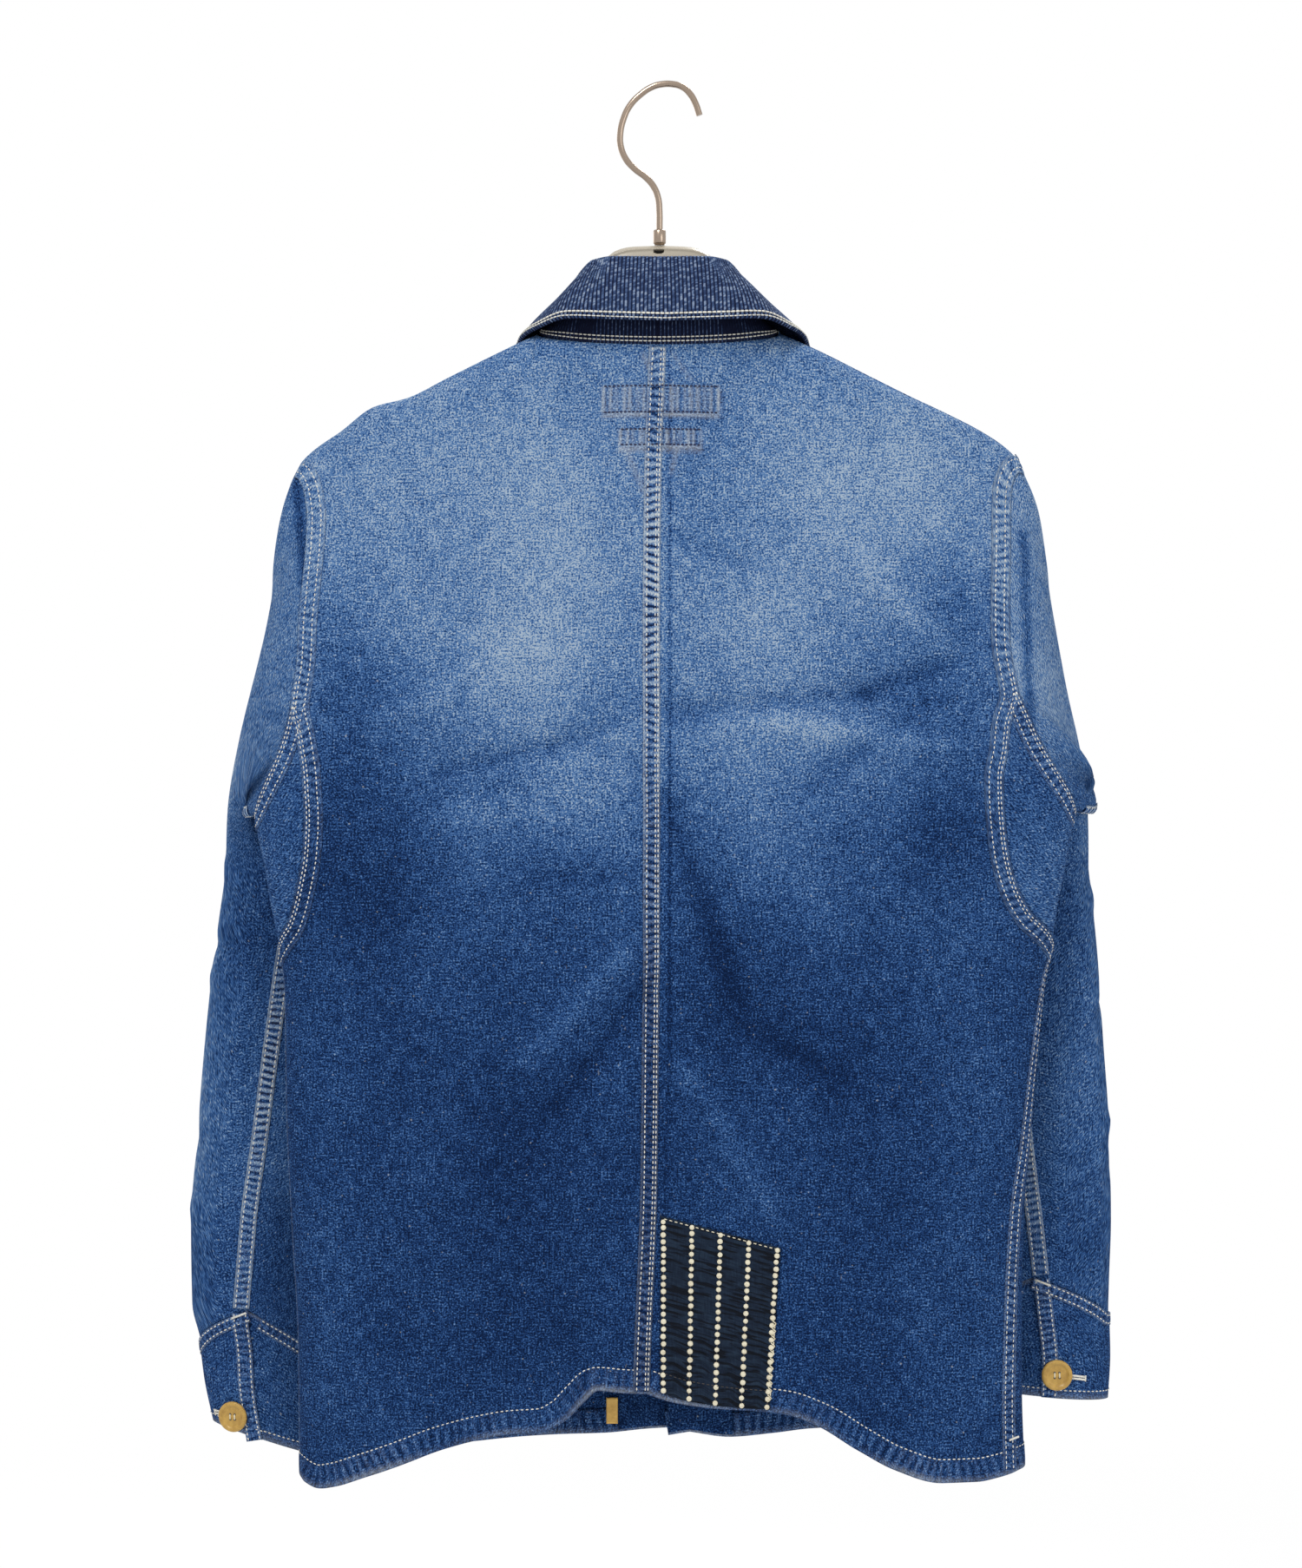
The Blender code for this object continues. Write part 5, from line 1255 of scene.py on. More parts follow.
def make_collar(material):
    """The collar with its ribs, which run up the stand, over the fold and down the fall."""
    fine = np.linspace(-COLLAR_END, COLLAR_END, 1500)
    middle = collar(fine, np.full(fine.shape, COLLAR_MIDDLE))
    run = run_along(middle)
    run -= 0.5 * run[-1]
    places = even(run[0], run[-1], RIB_PITCH / RIB_COLUMNS)
    stand, fold = even(0.0, STAND_PART, 0.045)[:-1], even(STAND_PART, FALL_PART, 0.017)[:-1]
    parts = np.concatenate([stand, fold, even(FALL_PART, 1.0, 0.03)])
    angles = rib_columns(places, parts, fine, middle, run)
    rib = 0.5 - 0.5 * np.cos(2.0 * np.pi * places / RIB_PITCH)
    grid_parts = np.broadcast_to(parts[:, None], angles.shape)
    points, _ = COLLAR_SURFACE.lifted(angles, grid_parts, RIB_DEPTH * rib)
    layers = {"rib": rib, "wear": 0.0}
    return add_cloth("collar", points, "ribbed_cloth", material, COLLAR_CLOTH, layers)


# ---------------------------------------------------------------- what lies on the panels
FACING_WIDTH = {"left": 0.060, "right": 0.042}
FACING_TOP = 0.262
FACING_LIFT = 0.0019
FACING_INSET = 0.0004        # its edge lies this far behind the front's edge, and above its hem
FACING_RAISE = 0.0006
PATCH_LIFT = 0.0018
PATCH_LEFT = 0.0005
PATCH_RIGHT_TOP = 0.0766
PATCH_RIGHT_FOOT = 0.0698
PATCH_TOP_LEFT = 0.7231
PATCH_TOP_RIGHT = 0.7435
PATCH_STEP = 0.0012
PATCH_WIDTH = 0.0735         # about, to count the columns and rows of its grid
PATCH_HEIGHT = 0.11
PUCKERED_HEIGHT = 0.115      # the height along which its puckers are counted
PATCH_PUCKER = 0.0006
TAB_WIDTH = 0.0074
TAB_HEIGHT = 0.017
TAB_LIFT = 0.0018
TAB_FOOT = 0.8680
TAB_GAP = 0.0010             # between it and the facing's inner edge
LEATHER = 0.0013


def on_body(side, face, x, drop, lift):
    """Places on the body at an x and a drop, lifted off it, and its normals there."""
    return body_surface(side, face).lifted(*find(side, face, x, drop), lift)


def front_edge(side, drop):
    return read(MIDDLES, "front", drop) - SIGN[side] * OVERLAP


def make_facing(side, material):
    """A strip behind a front's free edge."""
    drops = even(FACING_TOP, SIDE_HEM_DROP, FINE)[:, None]
    top = find(side, "front", front_edge(side, FACING_TOP), FACING_TOP)[1]
    down = (drops - drops[0]) / (drops[-1] - drops[0])
    rows = top + (SIDE_HEM_DROP - FACING_RAISE - top) * down
    surface = body_surface(side, "front")
    edge = surface.form(np.full(rows.shape, CLOSURE_EDGE), rows)[..., 0] - CENTRE_X
    across = even(0.0, 1.0, FINE / FACING_WIDTH[side])
    x = edge + SIGN[side] * (FACING_INSET + (FACING_WIDTH[side] - FACING_INSET) * across)
    u = np.full(x.shape, CLOSURE_EDGE)
    for _ in range(7):
        slope = SIGN[side] * 0.5 * np.pi * read(SIDES[side], "half_width", rows)
        u = u + (x - (surface.form(u, rows)[..., 0] - CENTRE_X)) / slope
    points, _ = surface.lifted(u, np.broadcast_to(rows, u.shape), -FACING_LIFT)
    return add_cloth(f"facing_{side}", points, "denim", material, CLOTH, {"fade": 0.10, "wear": 0.0})


def patch(across, part, lift=PATCH_LIFT):
    """Places on the patch and its normals."""
    right = PATCH_RIGHT_TOP + (PATCH_RIGHT_FOOT - PATCH_RIGHT_TOP) * part
    x = PATCH_LEFT + (right - PATCH_LEFT) * across
    top = PATCH_TOP_LEFT + (PATCH_TOP_RIGHT - PATCH_TOP_LEFT) * across
    foot = read(BACK_HEM, "right", x)
    return on_body("right", "back", x, top + (foot - top) * part, lift)


def make_patch(material):
    """The patch, puckered between its columns of dots, and more so lower down."""
    columns, rows = even(0.0, 1.0, PATCH_STEP / PATCH_WIDTH), even(0.0, 1.0, PATCH_STEP / PATCH_HEIGHT)
    across, part = np.meshgrid(columns, rows)
    down = PUCKERED_HEIGHT * part
    between = np.exp(-((across * 4.0) % 1.0 - 0.5) ** 2 / 0.10)
    waves = np.sin(down / 0.0012 + 2.0 * np.sin(9.0 * across)) * (0.6 + 0.4 * np.sin(down / 0.011))
    lower = 0.35 + 0.65 * smooth((part - 0.25) / 0.3)
    puckers = lower * between * waves
    points, normals = patch(across, part)
    points = points + normals * (PATCH_PUCKER * puckers)[..., None]
    # the fade layer makes the puckers' ridges paler and their hollows darker: partly wear, partly
    # painted shade
    layers = {"fade": puckers, "wear": 0.0}
    return add_cloth("patch", points, "dotted_cloth", material, CLOTH, layers)


def make_hem_tab(material):
    """The narrow leather tab at the hem, beside the left facing's inner edge."""
    right = read(MIDDLES, "front", TAB_FOOT) + OVERLAP - FACING_WIDTH["left"] - TAB_GAP
    across, part = np.meshgrid(even(0.0, 1.0, 0.12), even(0.0, 1.0, 0.07))
    x = right - TAB_WIDTH * (1.0 - across)
    points, _ = on_body("left", "front", x, TAB_FOOT - TAB_HEIGHT * (1.0 - part), -TAB_LIFT)
    return add_cloth("hem_tab", points, "tan_leather", material, LEATHER)


# ---------------------------------------------------------------- buttons
BUTTON_RADIUS = 0.0100
BUTTON_HEIGHT = 0.0030
BUTTON_GAP = 0.0006
BUTTON_DISH = 0.66           # the height of the middle, as a share of the rim's
BUTTON_RIM = [               # the button's outline, as shares of its radius and its height
    (0.64, 0.64), (0.70, 0.76), (0.75, 0.92), (0.80, 0.99), (0.86, 1.0), (0.92, 0.96),
    (0.97, 0.84), (1.0, 0.66), (1.0, 0.42), (0.97, 0.2), (0.90, 0.05), (0.80, 0.0),
]
CUFF_BUTTONS = {"left": (46.0, 0.8568), "right": (71.0, 0.8347)}     # angle round the cuff, drop
CUFF_BUTTON_OUT = 0.0008     # above the cuff's upper layer
FRONT_BUTTON_DROPS = [0.252, 0.385, 0.518, 0.651, 0.784]


def lathe_mesh(name, profile, sides):
    """A solid turned about its own Z, from (radius, height) rows, the first and last at 0."""
    points = [(0.0, 0.0, profile[0][1])]
    for radius, height in profile[1:-1]:
        points += [(radius * a, radius * b, height) for a, b in circle(sides)]
    points.append((0.0, 0.0, profile[-1][1]))
    faces = []
    rings = len(profile) - 2
    for k in range(sides):
        after = (k + 1) % sides
        faces.append((0, 1 + k, 1 + after))
        for ring in range(rings - 1):
            low, high = 1 + ring * sides, 1 + (ring + 1) * sides
            faces.append((low + k, high + k, high + after, low + after))
        last = 1 + (rings - 1) * sides
        faces.append((last + k, len(points) - 1, last + after))
    mesh = bpy.data.meshes.new(name)
    mesh.from_pydata(points, [], faces)
    return mesh


def make_button(name, place, normal, material):
    """A dished button with a rolled rim, just off the cloth. Gives its place and where it faces."""
    shares = [(0.0, BUTTON_DISH), (0.55, 0.62)] + BUTTON_RIM + [(0.0, 0.0)]
    profile = [(BUTTON_RADIUS * r, BUTTON_HEIGHT * h) for r, h in shares]
    button = add_object(name, lathe_mesh(name, profile, 40), material, [name])
    button.location = Vector(place) + Vector(normal) * BUTTON_GAP
    button.rotation_mode = "QUATERNION"
    button.rotation_quaternion = Vector(normal).to_track_quat("Z", "Y")
    return place, normal


def make_buttons(material):
    """All the buttons. Gives their places and the ways they face."""
    sites = []
    for side, (angle, drop) in CUFF_BUTTONS.items():
        place = tube(side, angle, drop, CUFF_LAP_LIFT + CUFF_BUTTON_OUT)
        across = tube(side, angle - 5.0, drop) - tube(side, angle + 5.0, drop)
        along = tube(side, angle, drop + 0.005) - tube(side, angle, drop - 0.005)
        normal = unit(np.cross(across, along))
        if normal[1] > 0.0:
            normal = -normal
        sites.append(make_button(f"button_cuff_{side}", place, normal, material))
    for number, drop in enumerate(FRONT_BUTTON_DROPS, start=1):
        place, _ = on_body("left", "front", read(MIDDLES, "front", drop), drop, 0.5 * CLOTH)
        sites.append(make_button(f"button_front_{number}", place, (0.0, 1.0, 0.0), material))
    return sites


# ---------------------------------------------------------------- hanger
WIRE_RADIUS = 0.0021
HOOK_ROUTE = [               # x and drop of the wire's middle, from the tip
    (0.0218, 0.0181), (0.0193, 0.0107), (0.0156, 0.0041), (0.0106, -0.0003), (0.0045, -0.0020),
    (-0.0020, -0.0020), (-0.0085, -0.0003), (-0.0160, 0.0045), (-0.0234, 0.0123),
    (-0.0275, 0.0212), (-0.0293, 0.0296), (-0.0291, 0.0376), (-0.0259, 0.0460),
    (-0.0201, 0.0526), (-0.0127, 0.0583), (-0.0078, 0.0641), (-0.0049, 0.0715),
    (-0.0041, 0.0795), (-0.0040, 0.0917),
]
FERRULE_TOP = 0.0920
FERRULE = [                  # its radius and height, from its top
    (0.0, 0.0), (0.0030, 0.0), (0.0037, -0.0003), (0.0041, -0.0009), (0.0041, -0.0084),
    (0.0039, -0.0089), (0.0033, -0.0092), (0.0033, -0.0100), (0.0, -0.0100),
]
HangerSection = namedtuple("HangerSection", "out top foot half_depth")
HANGER = [
    HangerSection(0.000, 0.1023, 0.1460, 0.0090), HangerSection(0.018, 0.1030, 0.1480, 0.0090),
    HangerSection(0.027, 0.1050, 0.1500, 0.0090), HangerSection(0.035, 0.1110, 0.1520, 0.0090),
    HangerSection(0.043, 0.1290, 0.1570, 0.0092), HangerSection(0.052, 0.1450, 0.1650, 0.0095),
    HangerSection(0.062, 0.1565, 0.1760, 0.0098), HangerSection(0.080, 0.1680, 0.1885, 0.0104),
    HangerSection(0.100, 0.1755, 0.1980, 0.0108), HangerSection(0.135, 0.1930, 0.2150, 0.0110),
    HangerSection(0.165, 0.2075, 0.2290, 0.0108), HangerSection(0.180, 0.2155, 0.2340, 0.0095),
    HangerSection(0.186, 0.2210, 0.2320, 0.0060),
]
HANGER_END = HANGER[-1].out
HANGER_MIDDLE = 0.009        # out to here its grid is finer, for the slot
HANGER_LIP = 0.0011          # the moulded lip along its upper edges stands out by this
HANGER_LIP_TURN = 0.47       # where round the section the lip is
HANGER_LIP_SPREAD = 0.10
HANGER_SLOT = (-0.0005, 0.1067, 0.0032, 0.0011)      # x, drop and half sizes of the slot behind
HANGER_SLOT_DEPTH = 0.0045


def hanger_slot(out, drop, turn):
    """How far into the slot behind the hanger's middle a place is: 1 at its bottom."""
    slot_x, slot_drop, half_x, half_drop = HANGER_SLOT
    from_middle = ((out - slot_x) / half_x) ** 4 + ((drop - slot_drop) / half_drop) ** 4
    return (1.0 - smooth((from_middle - 0.5) / 0.8)) * (turn > np.pi)


def hanger_place(turn, out):
    """Places on the hanger: turn runs round its section, down its front and up its back."""
    top, foot, half_depth = (read(HANGER, column, np.abs(out)) for column in HangerSection._fields[1:])
    drop = 0.5 * (top + foot) - 0.5 * (foot - top) * np.cos(turn)
    squared = np.sign(np.sin(turn)) * np.abs(np.sin(turn)) ** 0.8
    from_top = np.minimum(turn, 2.0 * np.pi - turn)
    lip = HANGER_LIP * np.exp(-((from_top - HANGER_LIP_TURN) / HANGER_LIP_SPREAD) ** 2)
    slot = HANGER_SLOT_DEPTH * hanger_slot(out, drop, turn)
    half_depth = half_depth + (lip - slot) / np.maximum(np.abs(squared), 0.3)
    return np.stack(np.broadcast_arrays(CENTRE_X + out, half_depth * squared, -drop), -1)


def make_hanger_body(material):
    """The moulded body, with the finest grid round its slot, and with its two ends closed."""
    over, under = even(0.0, 1.0, 0.10), even(1.0, 5.3, 0.25)[1:-1]
    turns = np.concatenate([over, under, even(5.3, 2.0 * np.pi, 0.045)[:-1]])
    arm = even(HANGER_MIDDLE, HANGER_END, 0.004)[1:]
    outs = np.concatenate([-arm[::-1], even(-HANGER_MIDDLE, HANGER_MIDDLE, 0.0005), arm])[:, None]
    points = hanger_place(turns, outs)
    # the slot layer marks where painted shade darkens the slot's recess
    layers = {"slot": hanger_slot(outs, -points[..., 2], turns)}
    mesh = grid_mesh("hanger_body", points, layers, joined=True)
    shape = bmesh.new()
    shape.from_mesh(mesh)
    shape.verts.ensure_lookup_table()
    count = len(turns)
    shape.faces.new(shape.verts[:count])
    shape.faces.new(shape.verts[-count:][::-1])
    bmesh.ops.recalc_face_normals(shape, faces=shape.faces)
    shape.to_mesh(mesh)
    shape.free()
    add_object("hanger_body", mesh, material, ["hanger_body"])


def make_ferrule(material):
    """The metal collar in which the hook stands."""
    mesh = lathe_mesh("hanger_ferrule", FERRULE, 32)
    ferrule = add_object("hanger_ferrule", mesh, material, ["hanger_ferrule"])
    ferrule.location = (CENTRE_X, 0.0, -FERRULE_TOP)


def make_hook(material):
    """The hook: round wire along its route."""
    curve = bpy.data.curves.new("hanger_hook", "CURVE")
    curve.dimensions = "3D"
    curve.bevel_depth = WIRE_RADIUS
    curve.bevel_resolution = 5
    curve.use_fill_caps = True
    curve.resolution_u = 6
    line = curve.splines.new("BEZIER")
    line.bezier_points.add(len(HOOK_ROUTE) - 1)
    for point, (x, drop) in zip(line.bezier_points, HOOK_ROUTE):
        point.co = (x, 0.0, -drop)
        point.handle_left_type = point.handle_right_type = "AUTO"
    hook = bpy.data.objects.new("hanger_hook", curve)
    bpy.context.scene.collection.objects.link(hook)
    curve.materials.append(material)
    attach(hook, "root")
    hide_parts("hanger_hook")


# ---------------------------------------------------------------- seams and their stitches
STRIP_STEP = 0.0014        # the strips' grid, along and across
STRIP_ACROSS = 0.0012
STRIP_WALL = 0.0008
STRIP_LIFT = 0.0011          # of a strip's middle above the middle of the cloth
STRIP_RELIEF = 0.0005        # of its puckers
STRIP_ROUND = 0.0020         # its puckers fade out within this of its edges
STRIP_EDGE = 0.0011          # how wide its pale edges are
PUCKER_MEAN = 0.62           # puckers higher than this are worn paler than the strip, and lower ones darker with painted shade
WORN_FADE = 0.55             # cloth as pale as this shows its puckers in full
ROW_LIFT = 0.0016
ROW_SINK = 0.00025           # a row of stitches is drawn in by this
ROW_WIDTH = 0.0009
ROW_RELIEF = 0.0004
FLAT_ROW_LIFT = 0.0010       # of a row straight on the cloth
STITCH_PITCH = 0.0032
GUSSET_ROW = 0.0012          # how far each row on the flat cloth lies from the edge it follows
CUFF_ROW = 0.0055
NECK_ROW = 0.0022
FRONT_ROW = 0.0025
FACING_ROW = 0.0022
HEM_ROW = 0.0138
HEM_STEP = 0.0018
HEM_HEIGHT = 0.0148
HEM_WALL = 0.0005
HEM_PUCKER_PITCH = 0.0064
HEM_PUCKER_LEAN = 0.25
SEAM_FOOT = SIDE_HEM_DROP - 0.0008           # where the seams of the body end at the hem
GUSSET_END = GUSSET_FOOT_DROP - 0.0008
SIDE_SEAM_ON = {"left": "front_left", "right": "back_right"}

# Over each seam lies a felled strip: the distances of its two edges and of its rows of stitches
# from the seam, how much paler its edges are, how strongly its puckers show in its colour, worn
# paler on their ridges and darker with painted shade in their hollows, and how worn they are,
# and their pitch and lean.
Strip = namedtuple("Strip", "edges rows edge_fade contrast wear pitch lean")
STRIPS = {
    "centre": Strip((-0.0056, 0.0050), (-0.0033, 0.0021, 0.0038), 0.22, 1.55, 0.90, 0.0056, 0.4),
    "armhole": Strip((-0.0006, 0.0118), (0.0030, 0.0088), 0.08, 0.70, 0.22, 0.0054, 0.4),
    "gusset": Strip((0.0, 0.0112), (0.0013, 0.0031, 0.0086), 0.08, 0.70, 0.22, 0.0054, 0.4),
    "side": Strip((-0.0004, 0.0098), (0.0022, 0.0076), 0.12, 0.90, 0.40, 0.0058, 0.4),
    "shoulder": Strip((0.0, 0.0100), (0.0020, 0.0078), 0.05, 0.30, 0.20, 0.0062, 0.2),
    "sleeve": Strip((-0.0004, 0.0102), (0.0013, 0.0084), 0.30, 1.50, 0.80, 0.0047, 0.2),
    "opening": Strip((0.0, 0.0102), (0.0013, 0.0088), 0.24, 1.30, 0.55, 0.0048, 0.2),
    "cuff": Strip((0.0, 0.0076), (0.0012, 0.0062), 0.20, 1.30, 0.50, 0.0047, 0.2),
}

Sewing = namedtuple("Sewing", "material slot thread")

strips = {}                  # the strips sewn on each piece, by the piece's name


def route(surface, u, v, pitch):
    """The same path at an even pitch, and how far along it each place is."""
    u, v = np.broadcast_arrays(np.asarray(u, float), np.asarray(v, float))
    run = run_along(surface.frame(u, v)[0])
    at = even(0.0, run[-1], pitch)
    return np.interp(at, run, u), np.interp(at, run, v), at


def rope(run, aside, pitch, lean, seed):
    """Puckers along a seam, from 0 in the hollows to 1 on the ridges. They wander a little."""
    wander = 0.55 * np.sin(run / 0.023 + seed) + 0.45 * np.sin(run / 0.0091 + 2.0 * seed)
    swing = lean * aside * np.sin(run / 0.0152 + seed)
    wave = (0.5 + 0.5 * np.sin(2.0 * np.pi * (run + swing) / pitch + wander)) ** 0.6
    strong = 0.72 + 0.28 * np.sin(run / 0.037 + 3.0 * seed)
    return 0.6 + (wave - 0.6) * strong


def felled(name, piece, surface, path, kind, sign, fade, sewing):
    """A felled seam's strip along a path, its puckers, and its rows of needle stitches.

    piece is the cloth it is sewn on. sign says to which side of the path the strip's distances
    are counted. fade is its shade: a number, or a function of its places.
    """
    strip = STRIPS[kind]
    u, v, run = route(surface, *path, STRIP_STEP)
    first, last = sorted(sign * edge for edge in strip.edges)
    rows = [sign * row for row in strip.rows]
    aside = even(first, last, STRIP_ACROSS)
    inside = np.minimum(np.abs(aside - first), np.abs(aside - last))
    seed = 0.7 * len(strips) + 0.3 * len(name)
    grid_run, grid_aside = np.meshgrid(run, aside, indexing="ij")
    puckers = rope(grid_run, grid_aside, strip.pitch, strip.lean, seed)
    sunk = sum(np.exp(-((grid_aside - row) / ROW_WIDTH) ** 2) for row in rows)
    between = smooth(inside / STRIP_ROUND)[None]
    height = STRIP_LIFT + STRIP_RELIEF * (puckers - 0.5) * between - ROW_SINK * sunk
    points, _ = surface.beside(u[:, None], v[:, None], grid_aside, height)
    shade = fade(points) if callable(fade) else fade
    worn = 0.3 + 0.7 * smooth(shade / WORN_FADE)
    edges = np.exp(-(inside / STRIP_EDGE) ** 2)[None]
    ridges = np.clip(puckers - 0.60, 0.0, 1.0) * between
    # the puckers' ridges are worn paler, and their hollows are darker with painted shade
    contrast = strip.contrast * (puckers - PUCKER_MEAN) * between
    layers = {
        "fade": shade + worn * (contrast + strip.edge_fade * edges),
        "wear": worn * strip.wear * (ridges + 0.5 * edges),
    }
    item = add_cloth(name, points, sewing.slot, sewing.material, STRIP_WALL, layers, sewn_on=True)
    strips.setdefault(piece, []).append(item)
    for row in rows:
        relief = ROW_RELIEF * (rope(run, row, strip.pitch, strip.lean, seed) - 0.5)
        sewing.thread.row(*surface.beside(u, v, row, ROW_LIFT - ROW_SINK + relief), STITCH_PITCH)


def stitched(surface, path, distance, lift, thread, pitch=STITCH_PITCH, **size):
    """A row of needle stitches straight on the cloth, at a distance beside a path."""
    u, v, _ = route(surface, *path, 0.002)
    thread.row(*surface.beside(u, v, distance, lift), pitch, **size)


def panel_edge(side, face, first, last):
    """The edge of a back or front panel, as a path on its surface."""
    v = even(first, last, 0.0015)
    return panel_reach(side, face, v), v


def body_shade(face, paler):
    """The shade of a strip on the body: the cloth's own there with its painted shade, and so much
    paler.
    """
    return lambda points: body_fade(face, points) + paler


def make_centre_seam(sewing):
    """The centre-back seam, which bends a little to the left lower down."""
    top = find("right", "back", 0.0, NECK_DROP + NECK_BACK_DIP + 0.0015)[1]
    v = even(top, SEAM_FOOT, 0.002)
    path = (-0.006 * smooth((v - 0.60) / 0.25), v)
    fade = body_shade("back", -0.08)
    surface = body_surface("right", "back")
    felled("seam_centre_back", "back_right", surface, path, "centre", 1.0, fade, sewing)


def make_body_seams(side, sewing):
    """The seams of one side: armhole, gusset, side and shoulder."""
    for face in OUTWARD:
        sign = OUTWARD[face] * SIGN[side]
        surface = body_surface(side, face)
        path = panel_edge(side, face, SHOULDER_DROP + 0.004, GUSSET_END)
        name, fade = f"seam_armhole_{face}_{side}", body_shade(face, 0.02)
        felled(name, f"{face}_{side}", surface, path, "armhole", sign, fade, sewing)
        path = panel_edge(side, face, JUNCTION_DROP - 0.012, GUSSET_END)
        stitched(surface, path, GUSSET_ROW * sign, ROW_LIFT - 0.0001, sewing.thread)

    surface, sign = body_surface(side, "back"), -SIGN[side]
    reach = even(-1.04, 1.04, 0.006)
    path = (read(FEET[side], "around", reach), read(FEET[side], "drop", reach))
    felled(f"seam_gusset_{side}", f"gusset_{side}", surface, path, "gusset", sign, 0.32, sewing)

    v = even(GUSSET_FOOT_DROP + 0.001, SEAM_FOOT, 0.002)
    path, fade = (panel_reach(side, "back", v), v), body_shade("back", 0.08)
    felled(f"seam_side_{side}", SIDE_SEAM_ON[side], surface, path, "side", -1.0, fade, sewing)

    surface, sign = body_surface(side, "front"), SIGN[side]
    path = (even(neck_around(90.0), 0.985, 0.006), SHOULDER_DROP + 0.0015)
    felled(f"seam_shoulder_{side}", f"front_{side}", surface, path, "shoulder", sign, 0.55, sewing)


def make_sleeve_seams(side, sewing):
    """The seams of one sleeve: its own, its opening at the cuff, and the cuff's."""
    sign = SIGN[side]
    sleeve_name, cuff_name = f"sleeve_{side}", f"cuff_{side}"
    path = (0.5, even(0.03, 1.997, 0.005))

    def fade(points):
        return read(FADES, "sleeve", -points[..., 2]) + 0.10

    felled(f"seam_sleeve_{side}", sleeve_name, sleeve_surface(side), path, "sleeve", sign, fade, sewing)

    surface = cuff_surface(side)
    path = (0.0, even(0.02, 0.995, 0.01))
    felled(f"cuff_strip_{side}", cuff_name, surface, path, "opening", sign, 0.26, sewing)
    path = (even(0.5, 350.0, 2.0), 0.0)
    felled(f"seam_cuff_{side}", cuff_name, surface, path, "cuff", -sign, 0.24, sewing)
    stitched(surface, (even(1.0, 384.0, 2.0), 1.0), CUFF_ROW * sign, 0.0012, sewing.thread)


def hem_section():
    """The hem band's section, up its outside and down its inside: distances above the cloth's
    edge, and heights off the cloth."""
    outside = even(HEM_HEIGHT, 0.0, 0.0018)
    rows = [(d, 0.0009 - 0.0007 * smooth((d - 0.0128) / 0.002)) for d in outside]
    rows += [(-0.0008, 0.0006), (-0.0011, 0.0), (-0.0008, -0.0006)]
    rows += [(d, -0.0012) for d in outside[::-1]]
    return (np.array(column)[None] for column in zip(*rows))


def make_hem(side, face, sewing):
    """The turned-up hem: a band folded round a panel's lower edge, with its row of stitches."""
    surface = body_surface(side, face)
    start = 0.0 if face == "back" else CLOSURE_EDGE
    u = even(start, panel_reach(side, face, SIDE_HEM_DROP), 0.008)
    u, v, run = route(surface, u, SIDE_HEM_DROP, HEM_STEP)
    sign = -OUTWARD[face] * SIGN[side]
    d, lift = hem_section()
    wave = rope(run[:, None], d, HEM_PUCKER_PITCH, HEM_PUCKER_LEAN, 1.3 + len(face))
    inside = smooth(d / 0.004) * (1.0 - smooth((d - 0.010) / 0.003))
    heights = lift + np.sign(lift) * 0.0006 * (wave - 0.5) * (0.25 + 0.75 * inside)
    points, _ = surface.beside(u[:, None], v[:, None], d * sign, heights)
    edge = np.exp(-((d - 0.0004) / 0.0016) ** 2)
    worn = 0.5 + 0.5 * np.sin(run / 0.045 + 1.0)[:, None] * np.sin(run / 0.0173)[:, None]
    # the hem's puckers: their ridges are worn paler, and their hollows are darker with painted shade
    layers = {
        "fade": body_fade(face, points) + 0.50 * (wave - 0.5) * inside + 0.08 * edge,
        "wear": np.clip(0.35 * edge * worn + 0.20 * (wave - PUCKER_MEAN) * worn, 0.0, 1.0),
    }
    name = f"hem_{face}_{side}"
    item = add_cloth(name, points, sewing.slot, sewing.material, HEM_WALL, layers, sewn_on=True)
    strips.setdefault(f"{face}_{side}", []).append(item)
    sewing.thread.row(*surface.beside(u, v, HEM_ROW * sign, FLAT_ROW_LIFT), STITCH_PITCH)


def make_neck_rows(side, thread):
    """The row beside the neck, on the front."""
    path = (neck_around(even(-OVERLAP_ANGLE + 4.0, 88.0, 2.0)), SHOULDER_DROP)
    stitched(body_surface(side, "front"), path, NECK_ROW * SIGN[side], FLAT_ROW_LIFT, thread)


def make_front_rows(side, thread):
    """The rows down the front edge and along the facing's inner edge."""
    surface = body_surface(side, "front")
    path = (CLOSURE_EDGE, even(SHOULDER_DROP + 0.006, SIDE_HEM_DROP - 0.002, 0.003))
    stitched(surface, path, -FRONT_ROW * SIGN[side], FLAT_ROW_LIFT, thread)
    drops = even(FACING_TOP, 0.866, 0.003)
    x = front_edge(side, drops) + SIGN[side] * (FACING_WIDTH[side] - FACING_ROW)
    stitched(surface, find(side, "front", x, drops), 0.0, FLAT_ROW_LIFT, thread)


def make_collar_rows(thread):
    """Two ivory rows along the fall's edge, two beside the neck seam, and one at each end."""
    surface = COLLAR_SURFACE
    end = COLLAR_END - 3.0
    angles = even(-end, end, 1.5)
    for part, width in ((0.954, 0.0014), (0.988, 0.0008)):
        size = {"length": 0.0031, "width": width, "height": 0.0010}
        stitched(surface, (angles, part), 0.0, 0.0019, thread, 0.0030, **size)
    for part in (0.016, 0.038):
        stitched(surface, (angles, part), 0.0, -0.0016, thread, 0.0030, length=0.0028, width=0.0009)
    for angle in (-end, end):
        stitched(surface, (angle, even(0.60, 0.94, 0.02)), 0.0, 0.0016, thread)


